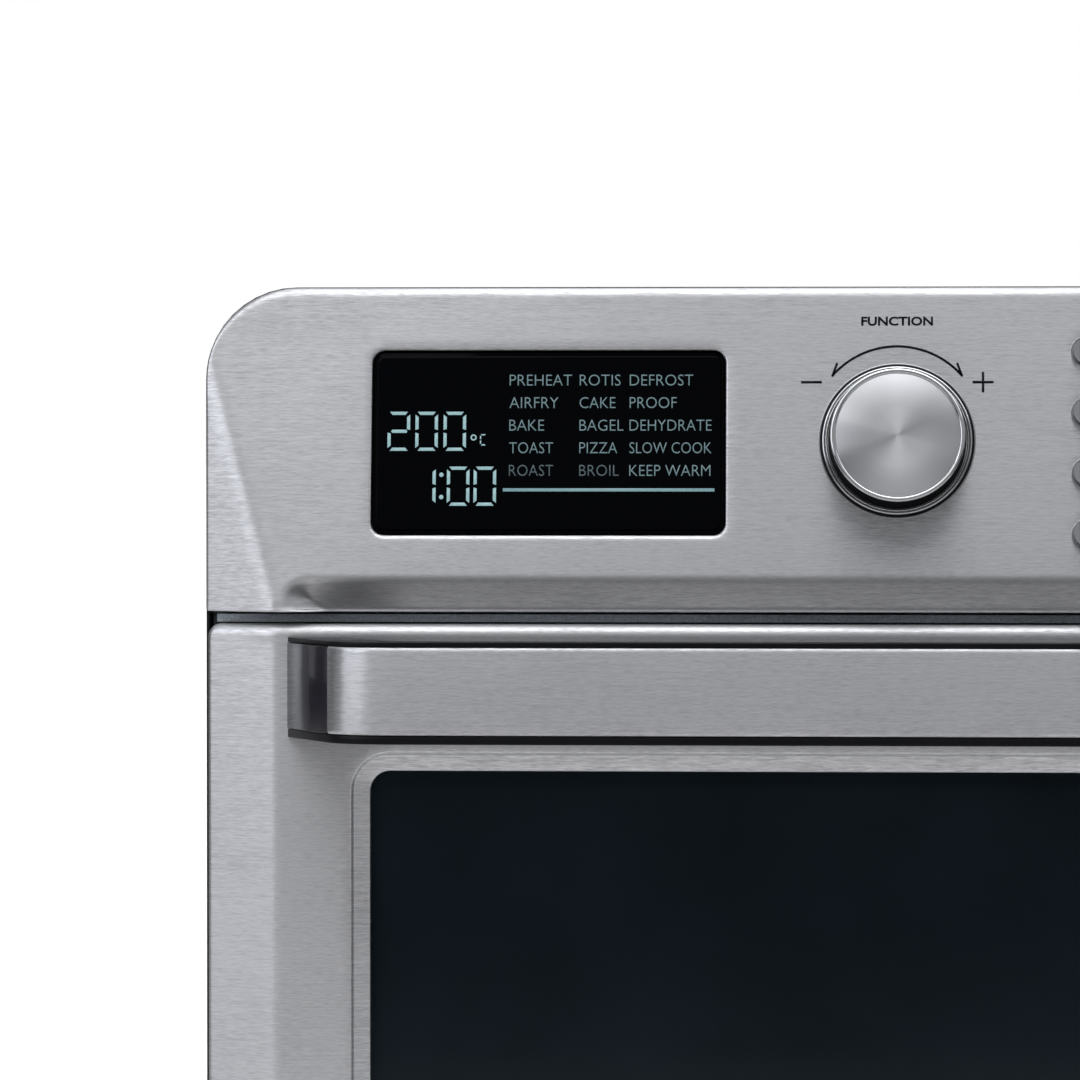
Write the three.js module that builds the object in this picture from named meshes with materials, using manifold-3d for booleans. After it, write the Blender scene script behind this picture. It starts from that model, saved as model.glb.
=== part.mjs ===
// Countertop toaster oven with a leaning stainless control panel, a drop-down door with a broad bow
// handle, and a cavity with a ceiling convection fan. Millimetres; +X is the oven's right as seen from
// the front, the front faces -Y, +Z is up, and the origin is under the middle at the feet.
import * as THREE from "three";
import { mergeVertices } from "three/addons/utils/BufferGeometryUtils.js";
import Module from "manifold-3d";

const wasm = await Module();
wasm.setup();

// ---------------------------------------------------------------- driving dimensions
const FIT = 0.3; // clearance left between neighbouring pieces
const SHEET = 0.8; // cavity and chassis sheet
const COVER_SHEET = 0.8; // painted wrap
const SKIN = 1.5; // stainless fascia and door skin

const FRONT_Y = -141; // datum plane of the fascia's and door's outer edges
const REAR_Y = 177.5; // outside of the rear cover
const DEPTH_END = 190.3; // end of the rear spacers
const COVER_HALF_W = 207;
const COVER_TOP = 355.6;
const COVER_FRONT = FRONT_Y + 8.3;
const BASE_Z = 20; // underside of the base pan
const COVER_R = 27.5; // top corner radius of the wrap

const FASCIA_HALF_W = 206;
const FASCIA_TOP = 355.1;
const FASCIA_BOTTOM = 258.4;
const FASCIA_R = 26;
const FASCIA_RETURN = 8; // how far its edges turn back
const PANEL_SLOPE = 0.15; // run of the main face per unit of height
const PANEL_FLUSH_Z = 335; // height at which the main face meets the datum plane
const PANEL_TILT = Math.atan(PANEL_SLOPE);
const WING_SLOPE = 0.53; // side facets of the fascia
const BROW_TOP = 269;
const BROW_FOOT = 259.2;
const BROW_HALF_W = 182.5;
const BROW_SLOPE = 0.926;
const BROW_LIP = 1.2; // how far the lip stands in front of the datum plane

const DOOR_HALF_W = 205.6;
const DOOR_BOTTOM = 47;
const DOOR_TOP = 255;
const DOOR_PROUD = 9; // centre of the door in front of its side edges
const DOOR_FACET_W = 20;
const DOOR_RETURN = 9;
const HINGE_F = -4; // hinge axis, measured forward from the datum plane
const HINGE_Z = 58;
const GLASS_HALF_W = 156.4;
const GLASS_BOTTOM = 80;
const GLASS_TOP = 211.4;
const GLASS_R = 6;
const BEZEL_W = 4.4;

const DISPLAY = { x: -103.5, z: 309, w: 105, h: 55, r: 3.6 };
const KNOB_Z = 309.5;
const KNOB_X = [0, 128];
const RING_R = 23.15;
const RING_BORE_R = 20.95;
const KNOB_R = 20.45;
const KNOB_FACE_R = 19;
const KNOB_PROUD = 13.2;
const BUTTON = { x: 64, w: 24, h: 8, proud: 2.2, top: 336, pitch: 18 };

const HANDLE_LOW = 221.6;
const HANDLE_HIGH = 251.2;
const BAND_LOW = 224.2;
const BAND_HIGH = 249.7;
const HANDLE_FRONT = 49.3; // front of the band ahead of the datum plane
const HANDLE_FOOT_X = 181;
const HANDLE_KNEE = [166.4, 39];
const HANDLE_FLAT_X = 144.4;

const RAIL_HALF_W = 203; // rail that fills the gap between the panel and the door
const CAVITY_HALF_W = 165;
const CAVITY_FRONT = FRONT_Y + 19.3;
const CAVITY_BACK = 150;
const CAVITY_FLOOR = 43;
const CAVITY_CEILING = 240;
const SILL_Z = 68; // lower edge of the oven mouth
const RAILS = [92, 120, 180];
const FAN = { x: 0, y: 15, r: 68, z: 246 };
const RACK_Z = 123.9;
const ELEMENTS = [
  ["upper_element_front", -75, 222],
  ["upper_element_rear", 112, 222],
  ["lower_element_front", -60, 58],
  ["lower_element_rear", 90, 58],
];
const SOCKET = { y: 15, z: 150 };
const LAMP = { y: 65, z: 204, r: 17 };

const TRAY_HALF_W = 155;
const TRAY_BOTTOM = 25;
const TRAY_TOP = 39.5;

// ---------------------------------------------------------------- solid tools
function solid(geometry) {
  const g = geometry.index ? geometry.clone() : geometry;
  for (const key of ["normal", "uv"]) g.deleteAttribute(key);
  const merged = mergeVertices(g, 1e-4);
  return new wasm.Manifold(
    new wasm.Mesh({
      numProp: 3,
      vertProperties: new Float32Array(merged.attributes.position.array),
      triVerts: new Uint32Array(merged.index.array),
    }),
  );
}

function surface(body) {
  const m = body.getMesh();
  const g = new THREE.BufferGeometry();
  g.setAttribute("position", new THREE.BufferAttribute(new Float32Array(m.vertProperties), 3));
  g.setIndex(new THREE.BufferAttribute(new Uint32Array(m.triVerts), 1));
  const flat = g.toNonIndexed();
  flat.computeVertexNormals();
  return flat;
}

const join = (first, ...rest) => rest.reduce((a, b) => a.add(b), first);
const cut = (first, ...rest) => rest.reduce((a, b) => a.subtract(b), first);

// A box between two corners.
function block(x0, x1, y0, y1, z0, z1) {
  const g = new THREE.BoxGeometry(x1 - x0, y1 - y0, z1 - z0);
  g.translate((x0 + x1) / 2, (y0 + y1) / 2, (z0 + z1) / 2);
  return solid(g);
}

// A rectangle with its own radius at the lower and the upper corners.
function roundedRect(x0, x1, z0, z1, low, high = low, steps = 6) {
  const points = [];
  const corners = [
    [x1, z0, low, -1, 1, -90],
    [x1, z1, high, -1, -1, 0],
    [x0, z1, high, 1, -1, 90],
    [x0, z0, low, 1, 1, 180],
  ];
  for (const [x, z, r, sx, sz, from] of corners) {
    const count = r > 0 ? steps : 0;
    for (let i = 0; i <= count; i++) {
      const a = ((from + (count ? (90 * i) / count : 0)) * Math.PI) / 180;
      points.push(
        new THREE.Vector2(x + sx * r + r * Math.cos(a), z + sz * r + r * Math.sin(a)),
      );
    }
  }
  return points;
}

const outline = (points) => new THREE.Shape(points.map((p) => (p.isVector2 ? p : new THREE.Vector2(...p))));

// An X-Z outline swept from yFront back to yBack.
function plate(points, yFront, yBack) {
  const g = new THREE.ExtrudeGeometry(outline(points), {
    depth: yBack - yFront,
    bevelEnabled: false,
    curveSegments: 1,
  });
  return solid(g.rotateX(Math.PI / 2).translate(0, yBack, 0));
}

// A plan outline of [x, forward] pairs swept from z0 up to z1.
function plan(points, z0, z1) {
  const flipped = points.map(([x, f]) => [x, FRONT_Y - f]);
  const g = new THREE.ExtrudeGeometry(outline(flipped), { depth: z1 - z0, bevelEnabled: false });
  return solid(g.translate(0, 0, z0));
}

// A side outline of [forward, z] pairs swept across x0 to x1.
function profile(points, x0, x1) {
  const flipped = points.map(([f, z]) => [FRONT_Y - f, z]);
  const g = new THREE.ExtrudeGeometry(outline(flipped), { depth: x1 - x0, bevelEnabled: false });
  const turn = new THREE.Matrix4().makeBasis(
    new THREE.Vector3(0, 1, 0),
    new THREE.Vector3(0, 0, 1),
    new THREE.Vector3(1, 0, 0),
  );
  return solid(g.applyMatrix4(turn).translate(x0, 0, 0));
}

// A turned body from [radius, height] pairs, with its axis laid along the given direction.
function turned(pairs, at, along = [0, 0, 1], segments = 28) {
  const g = new THREE.LatheGeometry(
    pairs.map(([r, h]) => new THREE.Vector2(r, h)),
    segments,
  );
  const swing = new THREE.Quaternion().setFromUnitVectors(
    new THREE.Vector3(0, 1, 0),
    new THREE.Vector3(...along).normalize(),
  );
  g.applyQuaternion(swing).translate(...at);
  const body = solid(g);
  if (body.volume() > 0) return body;
  return turned([...pairs].reverse(), at, along, segments);
}

const rod = (r, h0, h1, at, along, segments = 16) =>
  turned(
    [
      [0, h0],
      [r, h0],
      [r, h1],
      [0, h1],
    ],
    at,
    along,
    segments,
  );

// The leaning face's own frame: x across, y up the face, z out of it, at a point of height z.
function panelFrame(x, z) {
  const up = new THREE.Vector3(0, Math.sin(PANEL_TILT), Math.cos(PANEL_TILT));
  const out = new THREE.Vector3(0, -Math.cos(PANEL_TILT), Math.sin(PANEL_TILT));
  const m = new THREE.Matrix4().makeBasis(new THREE.Vector3(1, 0, 0), up, out);
  return m.setPosition(x, FRONT_Y - (PANEL_FLUSH_Z - z) * PANEL_SLOPE, z);
}

// An outline on the leaning face, swept along its normal from n0 to n1.
function panelPlate(points, at, n0, n1) {
  const g = new THREE.ExtrudeGeometry(outline(points), { depth: n1 - n0, bevelEnabled: false });
  return solid(g.translate(0, 0, n0).applyMatrix4(at));
}

// A turned body standing on the leaning face.
function panelTurned(pairs, at, segments) {
  const g = new THREE.LatheGeometry(
    pairs.map(([r, h]) => new THREE.Vector2(r, h)),
    segments,
  );
  const body = solid(g.rotateX(Math.PI / 2).applyMatrix4(at));
  return body.volume() > 0 ? body : panelTurned([...pairs].reverse(), at, segments);
}

const slab = (w, h) => roundedRect(-w / 2, w / 2, -h / 2, h / 2, 0);
const pill = (w, h) => roundedRect(-w / 2, w / 2, -h / 2, h / 2, h / 2, h / 2, 5);

// ---------------------------------------------------------------- materials
const finish = (color, roughness, metalness) => ({ color, roughness, metalness });
const STAINLESS = finish(0xb9b9b8, 0.34, 1);
const CHROME = finish(0xd7d9db, 0.1, 1);
const COVER_BLACK = finish(0x17181a, 0.5, 0.4);
const FRAME_GREY = finish(0x34383c, 0.6, 0.3);
const CHASSIS = finish(0x8d9092, 0.45, 0.9);
const CAVITY = finish(0x9c9d9c, 0.42, 0.9);
const BLACK_PLASTIC = finish(0x0c0c0e, 0.45, 0);
const GLOSS_BLACK = finish(0x1b1c20, 0.12, 0);
const DARK_GLASS = finish(0x07090b, 0.05, 0);
const PCB_GREEN = finish(0x1d4a2d, 0.5, 0);
const RUBBER = finish(0x151515, 0.85, 0);
const SEAL_GREY = finish(0x2a2b2c, 0.8, 0);
const HEATER = finish(0x5a5754, 0.5, 0.5);
const CERAMIC = finish(0xded9cc, 0.6, 0);
const LENS = finish(0xe9e6d8, 0.1, 0);

const oven = new THREE.Group();
oven.name = "toaster_oven";

function add(name, body, look) {
  const mesh = new THREE.Mesh(surface(body), new THREE.MeshStandardMaterial(look));
  mesh.name = name;
  oven.add(mesh);
}

const sides = [
  ["left", -1],
  ["right", 1],
];

// ---------------------------------------------------------------- cabinet
function outerCover() {
  const inside = COVER_HALF_W - COVER_SHEET;
  const shell = plate(
    roundedRect(-COVER_HALF_W, COVER_HALF_W, BASE_Z + 0.5, COVER_TOP, 0, COVER_R, 10),
    COVER_FRONT,
    REAR_Y,
  );
  const room = plate(
    roundedRect(-inside, inside, 0, COVER_TOP - COVER_SHEET, 0, COVER_R - COVER_SHEET, 10),
    COVER_FRONT - 5,
    REAR_Y + 5,
  );
  let body = cut(shell, room);
  for (let i = 0; i < 8; i++) {
    const y = 50 + 13 * i;
    body = body.subtract(block(-220, 220, y, y + 4.5, 292, 324));
  }
  return body;
}
add("outer_cover", outerCover(), COVER_BLACK);

const INNER_HALF_W = COVER_HALF_W - COVER_SHEET - FIT;

function basePan() {
  const y0 = COVER_FRONT + 12;
  const y1 = REAR_Y - 2;
  const inside = INNER_HALF_W - SHEET;
  let pan = block(-INNER_HALF_W, INNER_HALF_W, y0, y1, BASE_Z, BASE_Z + 16).subtract(
    block(-inside, inside, y0 - 5, y1 + 5, BASE_Z + SHEET, BASE_Z + 30),
  );
  for (const [, s] of sides) {
    const rail = [s * 150, s * 140].sort((a, b) => a - b);
    pan = pan.add(block(...rail, y0 + 3, 136, BASE_Z + 0.5, TRAY_BOTTOM - FIT));
  }
  for (let i = 0; i < 5; i++) {
    pan = pan.subtract(block(-105 + 48 * i, -87 + 48 * i, 30, 110, 0, BASE_Z + 8));
  }
  return pan;
}
add("base_pan", basePan(), CHASSIS);

function rearCover() {
  const top = COVER_TOP - COVER_SHEET - FIT;
  const radius = COVER_R - COVER_SHEET - FIT;
  let panel = plate(
    roundedRect(-INNER_HALF_W, INNER_HALF_W, BASE_Z + SHEET + FIT, top, 0, radius, 8),
    REAR_Y - SHEET,
    REAR_Y,
  );
  for (let row = 0; row < 2; row++) {
    for (let i = 0; i < 9; i++) {
      const x = -116 + 26 * i;
      panel = panel.subtract(block(x, x + 18, 160, 190, 222 + 14 * row, 227 + 14 * row));
    }
  }
  return panel.subtract(rod(6.4, -20, 20, [150, REAR_Y, 60], [0, 1, 0]));
}
add("rear_cover", rearCover(), COVER_BLACK);

function frontFrame() {
  const y0 = FRONT_Y + 17.5;
  const y1 = y0 + 1.5;
  const sheet = block(-INNER_HALF_W, INNER_HALF_W, y0, y1, BASE_Z + 2, FASCIA_BOTTOM + 3);
  const mouth = plate(
    roundedRect(-CAVITY_HALF_W, CAVITY_HALF_W, SILL_Z, CAVITY_CEILING, 4, 4, 3),
    y0 - 5,
    y1 + 5,
  );
  const slot = block(-TRAY_HALF_W - 1, TRAY_HALF_W + 1, y0 - 5, y1 + 5, TRAY_BOTTOM - 1, TRAY_TOP + 0.8);
  const rail = block(-RAIL_HALF_W, RAIL_HALF_W, FRONT_Y + 1.5, y0 + 0.5, DOOR_TOP + 0.5, FASCIA_BOTTOM - 0.6);
  return join(cut(sheet, mouth, slot), rail);
}
add("front_frame", frontFrame(), FRAME_GREY);

function foot(x, y) {
  return turned(
    [
      [0, 0],
      [11, 0],
      [13, 2],
      [14.5, BASE_Z - FIT],
      [0, BASE_Z - FIT],
    ],
    [x, y, 0],
    [0, 0, 1],
    20,
  );
}
for (const [side, s] of sides) {
  add(`foot_front_${side}`, foot(s * 175, -100), RUBBER);
  add(`foot_rear_${side}`, foot(s * 175, 150), RUBBER);
  add(
    `rear_spacer_${side}`,
    turned(
      [
        [0, REAR_Y + FIT],
        [13, REAR_Y + FIT],
        [9, DEPTH_END],
        [0, DEPTH_END],
      ],
      [s * 140, 0, 300],
      [0, 1, 0],
      20,
    ),
    BLACK_PLASTIC,
  );
}
add(
  "cord_gland",
  turned(
    [
      [3.4, 167],
      [6, 167],
      [6, REAR_Y + FIT],
      [9.5, REAR_Y + FIT],
      [8, REAR_Y + 7],
      [3.4, REAR_Y + 7],
      [3.4, 167],
    ],
    [150, 0, 60],
    [0, 1, 0],
    20,
  ),
  BLACK_PLASTIC,
);

// ---------------------------------------------------------------- oven cavity
function cavityWall(s) {
  const inner = s * CAVITY_HALF_W;
  const span = (a, b) => [a, b].sort((p, q) => p - q);
  let wall = block(
    ...span(inner, inner + s * SHEET),
    CAVITY_FRONT,
    CAVITY_BACK - FIT,
    CAVITY_FLOOR + SHEET + FIT,
    CAVITY_CEILING - FIT,
  );
  for (const z of RAILS) {
    wall = wall.add(
      block(...span(inner + s * 0.5, inner - s * 8), CAVITY_FRONT + 6, CAVITY_BACK - 4, z, z + 1.6),
    );
  }
  const holes = ELEMENTS.map(([, y, z]) => rod(5, -200, 200, [0, y, z], [1, 0, 0], 10));
  if (s > 0) holes.push(rod(5, -200, 200, [0, SOCKET.y, SOCKET.z], [1, 0, 0], 12));
  else holes.push(rod(LAMP.r - 4, -200, 200, [0, LAMP.y, LAMP.z], [1, 0, 0], 16));
  const own = span(inner - s * 12, inner + s * 12);
  const zone = block(...own, -200, 200, 0, 300);
  return cut(wall, ...holes.map((h) => h.intersect(zone)));
}
for (const [side, s] of sides) add(`cavity_${side}_wall`, cavityWall(s), CAVITY);

const ROOF_HALF_W = CAVITY_HALF_W + SHEET;
add(
  "cavity_top",
  block(
    -ROOF_HALF_W,
    ROOF_HALF_W,
    CAVITY_FRONT,
    CAVITY_BACK - FIT,
    CAVITY_CEILING,
    CAVITY_CEILING + SHEET,
  ).subtract(rod(FAN.r + 8, 200, 280, [FAN.x, FAN.y, 0], [0, 0, 1], 32)),
  CAVITY,
);
add(
  "cavity_floor",
  block(
    -ROOF_HALF_W,
    ROOF_HALF_W,
    CAVITY_FRONT,
    CAVITY_BACK - FIT,
    CAVITY_FLOOR,
    CAVITY_FLOOR + SHEET,
  ).subtract(block(-145, 145, CAVITY_FRONT + 14, CAVITY_BACK - 16, 0, 100)),
  CAVITY,
);
add(
  "cavity_back",
  block(
    -ROOF_HALF_W,
    ROOF_HALF_W,
    CAVITY_BACK,
    CAVITY_BACK + SHEET,
    CAVITY_FLOOR,
    CAVITY_CEILING + SHEET,
  ),
  CAVITY,
);

for (const [name, y, z] of ELEMENTS) {
  const half = CAVITY_HALF_W + 14;
  add(
    name,
    turned(
      [
        [0, -half],
        [4.4, -half],
        [4.4, 10 - CAVITY_HALF_W],
        [3.6, 10 - CAVITY_HALF_W],
        [3.6, CAVITY_HALF_W - 10],
        [4.4, CAVITY_HALF_W - 10],
        [4.4, half],
        [0, half],
      ],
      [0, y, z],
      [1, 0, 0],
      12,
    ),
    HEATER,
  );
}

// Ceiling fan: guard under the ceiling, wheel in a shallow drum, motor on top of the drum.
function fanGuard() {
  let disc = rod(FAN.r + 14, CAVITY_CEILING - 1.5, CAVITY_CEILING - FIT, [FAN.x, FAN.y, 0], [0, 0, 1], 36);
  for (let i = 0; i < 16; i++) {
    const spoke = new THREE.BoxGeometry(38, 6.5, 20);
    spoke.translate(45, 0, CAVITY_CEILING).rotateZ((i * Math.PI) / 8).translate(FAN.x, FAN.y, 0);
    disc = disc.subtract(solid(spoke));
  }
  return disc;
}
add("fan_guard", fanGuard(), CAVITY);

const DRUM_TOP = CAVITY_CEILING + 34;
add(
  "fan_drum",
  turned(
    [
      [7, DRUM_TOP],
      [FAN.r + 10, DRUM_TOP],
      [FAN.r + 10, CAVITY_CEILING + SHEET + FIT],
      [FAN.r + 9, CAVITY_CEILING + SHEET + FIT],
      [FAN.r + 9, DRUM_TOP - 1],
      [7, DRUM_TOP - 1],
      [7, DRUM_TOP],
    ],
    [FAN.x, FAN.y, 0],
    [0, 0, 1],
    32,
  ),
  CHASSIS,
);
add(
  "fan_motor",
  turned(
    [
      [0, DRUM_TOP + FIT],
      [26, DRUM_TOP + FIT],
      [28, DRUM_TOP + 3],
      [28, DRUM_TOP + 30],
      [22, DRUM_TOP + 35],
      [8, DRUM_TOP + 38],
      [0, DRUM_TOP + 38],
    ],
    [FAN.x, FAN.y, 0],
    [0, 0, 1],
    24,
  ),
  CHASSIS,
);

function fanWheel() {
  const at = [FAN.x, FAN.y, 0];
  let wheel = join(
    rod(FAN.r - 3, FAN.z + 12, FAN.z + 13, at, [0, 0, 1], 32),
    rod(9, FAN.z + 2, FAN.z + 16, at, [0, 0, 1], 20),
    rod(3, FAN.z + 10, DRUM_TOP - 0.1, at, [0, 0, 1], 12),
  );
  for (let i = 0; i < 10; i++) {
    const blade = new THREE.BoxGeometry(40, 1, 12.5);
    blade.rotateZ(0.5).translate(45, 0, FAN.z + 6.2);
    blade.rotateZ((i * Math.PI) / 5).translate(FAN.x, FAN.y, 0);
    wheel = wheel.add(solid(blade));
  }
  return wheel;
}
add("fan_wheel", fanWheel(), CAVITY);

// Lamp on the left wall and rotisserie drive on the right wall.
const LEFT_OF_WALL = -(CAVITY_HALF_W + SHEET + FIT);
add(
  "lamp_lens",
  turned(
    [
      [0, -CAVITY_HALF_W + FIT],
      [LAMP.r, -CAVITY_HALF_W + FIT],
      [LAMP.r, -CAVITY_HALF_W + 2],
      [LAMP.r - 5, -CAVITY_HALF_W + 5],
      [6, -CAVITY_HALF_W + 6.5],
      [0, -CAVITY_HALF_W + 6.8],
    ],
    [0, LAMP.y, LAMP.z],
    [1, 0, 0],
    24,
  ),
  LENS,
);
add(
  "lamp_holder",
  turned(
    [
      [0, LEFT_OF_WALL],
      [19, LEFT_OF_WALL],
      [19, LEFT_OF_WALL - 3],
      [12, LEFT_OF_WALL - 6],
      [10, LEFT_OF_WALL - 26],
      [0, LEFT_OF_WALL - 26],
    ],
    [0, LAMP.y, LAMP.z],
    [1, 0, 0],
    20,
  ),
  CERAMIC,
);
add(
  "rotisserie_socket",
  join(
    rod(9, CAVITY_HALF_W - 7, CAVITY_HALF_W - 0.6, [0, SOCKET.y, SOCKET.z], [1, 0, 0], 20),
    rod(4.2, CAVITY_HALF_W - 2, CAVITY_HALF_W + 2.2, [0, SOCKET.y, SOCKET.z], [1, 0, 0], 16),
  ).subtract(
    block(CAVITY_HALF_W - 12, CAVITY_HALF_W - 2, SOCKET.y - 3.2, SOCKET.y + 3.2, SOCKET.z - 3.2, SOCKET.z + 3.2),
  ),
  CHASSIS,
);
add(
  "rotisserie_motor",
  join(
    block(CAVITY_HALF_W + 2.6, CAVITY_HALF_W + 18, SOCKET.y - 22, SOCKET.y + 22, SOCKET.z - 22, SOCKET.z + 22),
    rod(18, CAVITY_HALF_W + 17, CAVITY_HALF_W + 34, [0, SOCKET.y, SOCKET.z], [1, 0, 0], 24),
  ),
  CHASSIS,
);

// Wire rack resting on the middle pair of rails.
function wireRack() {
  const half = CAVITY_HALF_W - 5;
  const y0 = CAVITY_FRONT + 12;
  const y1 = CAVITY_BACK - 14;
  let rack = join(
    ...[y0 + 3, y1 - 3].map((y) => rod(2, -half, half, [0, y, RACK_Z], [1, 0, 0], 6)),
    ...[-half, half].map((x) => rod(2.1, y0, y1, [x, 0, RACK_Z], [0, 1, 0], 6)),
  );
  const count = 11;
  for (let i = 0; i < count; i++) {
    const x = -half + (2 * half * (i + 1)) / (count + 1);
    rack = rack.add(rod(1.5, y0 + 1, y1 - 1, [x, 0, RACK_Z + 1.9], [0, 1, 0], 6));
  }
  return rack;
}
add("wire_rack", wireRack(), CHROME);

// Crumb tray: a shallow pan drawn out under the door by the lip of its front plate.
function crumbTray() {
  const y0 = FRONT_Y + 14;
  const back = 138;
  const plateBack = FRONT_Y + 17.2;
  const pan = block(-TRAY_HALF_W, TRAY_HALF_W, plateBack - 1, back, TRAY_BOTTOM, TRAY_TOP);
  const hollow = block(
    -TRAY_HALF_W + 1,
    TRAY_HALF_W - 1,
    plateBack + 0.8,
    back - 1,
    TRAY_BOTTOM + 1,
    TRAY_TOP + 10,
  );
  const front = block(-TRAY_HALF_W - 8, TRAY_HALF_W + 8, y0, plateBack, BASE_Z + 2.5, TRAY_TOP + 0.5);
  const lip = block(-60, 60, y0 - 6, y0 + 0.5, BASE_Z + 2.5, BASE_Z + 4.5);
  return join(cut(pan, hollow), front, lip);
}
add("crumb_tray", crumbTray(), CHASSIS);

// ---------------------------------------------------------------- control panel
// The fascia's outer form, or with an inset its hollow: the leaning face, the two side facets and the
// undercut brow are planes, so the inset form is the same planes moved inwards.
function fasciaForm(inset) {
  const t = inset;
  const back = inset ? -FASCIA_RETURN - 5 : -FASCIA_RETURN;
  const face = plate(
    roundedRect(
      -FASCIA_HALF_W + t,
      FASCIA_HALF_W - t,
      FASCIA_BOTTOM + t,
      FASCIA_TOP - t,
      1,
      FASCIA_R - t,
      10,
    ),
    FRONT_Y - 20,
    FRONT_Y - back,
  );
  const lean = t * Math.hypot(1, PANEL_SLOPE);
  const faceAt = (z) => (PANEL_FLUSH_Z - z) * PANEL_SLOPE - lean;
  const top = FASCIA_TOP - t;
  const side = [
    [back, 250],
    [faceAt(250), 250],
    [faceAt(top - 2.4), top - 2.4],
    [faceAt(top) - 0.25, top - 1.1],
    [faceAt(top) - 0.9, top - 0.35],
    [faceAt(top) - 2, top],
    [back, top],
  ];
  const facet = t * Math.hypot(1, WING_SLOPE);
  const wide = FASCIA_HALF_W;
  const top_view = [
    [-wide, back],
    [-wide, -facet],
    [-wide + 34, 34 * WING_SLOPE - facet],
    [wide - 34, 34 * WING_SLOPE - facet],
    [wide, -facet],
    [wide, back],
  ];
  const form = face.intersect(profile(side, -wide, wide)).intersect(plan(top_view, 240, 370));
  const drop = t * Math.hypot(1, BROW_SLOPE);
  const mouth = plate(
    roundedRect(-BROW_HALF_W - t, BROW_HALF_W + t, 240, BROW_TOP + t, 0, 7, 5),
    FRONT_Y - 30,
    FRONT_Y + 30,
  );
  const browFoot = BROW_LIP - drop;
  const under = profile(
    [
      [browFoot, 240],
      [browFoot, BROW_FOOT],
      [browFoot + 28 * BROW_SLOPE, BROW_FOOT + 28],
      [40, BROW_FOOT + 28],
      [40, 240],
    ],
    -wide,
    wide,
  );
  return form.subtract(mouth.intersect(under));
}

function controlFascia() {
  let body = fasciaForm(0).subtract(fasciaForm(SKIN));
  const window = panelFrame(DISPLAY.x, DISPLAY.z);
  const w = DISPLAY.w / 2;
  const h = DISPLAY.h / 2;
  body = body.subtract(panelPlate(roundedRect(-w, w, -h, h, DISPLAY.r, DISPLAY.r, 5), window, -5, 5));
  for (const x of KNOB_X) {
    const hole = roundedRect(-8, 8, -8, 8, 8, 8, 5);
    body = body.subtract(panelPlate(hole, panelFrame(x, KNOB_Z), -5, 5));
  }
  for (let i = 0; i < 4; i++) {
    const hole = pill(BUTTON.w + 0.8, BUTTON.h + 0.8);
    body = body.subtract(panelPlate(hole, panelFrame(BUTTON.x, BUTTON.top - i * BUTTON.pitch), -5, 5));
  }
  return body;
}
add("control_fascia", controlFascia(), STAINLESS);

const windowFrame = panelFrame(DISPLAY.x, DISPLAY.z);
{
  const w = DISPLAY.w / 2 - FIT;
  const h = DISPLAY.h / 2 - FIT;
  add(
    "display_glass",
    panelPlate(roundedRect(-w, w, -h, h, DISPLAY.r - FIT, DISPLAY.r - FIT, 5), windowFrame, -3.4, -0.7),
    DARK_GLASS,
  );
  add("display_module", panelPlate(slab(98, 50), windowFrame, -17.6, -3.8), BLACK_PLASTIC);
}

const panelMiddle = panelFrame(0, 306);
function carrier() {
  let sheet = panelPlate(slab(388, 80), panelMiddle, -12.5, -10.6);
  sheet = sheet.subtract(panelPlate(slab(99, 51), windowFrame, -20, 0));
  for (const x of KNOB_X) sheet = sheet.subtract(panelPlate(slab(16, 16), panelFrame(x, KNOB_Z), -20, 0));
  return sheet;
}
add("fascia_carrier", carrier(), BLACK_PLASTIC);

function controlBoard() {
  let board = panelPlate(slab(360, 70), panelMiddle, -19.6, -18);
  for (const x of [-172, -40, 40, 172]) {
    for (const y of [-30, 30]) {
      const post = new THREE.BoxGeometry(5, 5, 5.8);
      post.translate(x, y, -15.6).applyMatrix4(panelMiddle);
      board = board.add(solid(post));
    }
  }
  return board;
}
add("control_board", controlBoard(), PCB_GREEN);

function powerBoard() {
  let board = block(60, 160, 163, 164.6, 262, 330);
  for (const x of [66, 154]) {
    for (const z of [268, 324]) board = board.add(rod(3, 164, REAR_Y - 1.5, [x, 0, z], [0, 1, 0], 8));
  }
  return join(board, block(75, 105, 145, 163.2, 275, 300), block(120, 140, 140, 163.2, 285, 315));
}
add("power_board", powerBoard(), PCB_GREEN);

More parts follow.
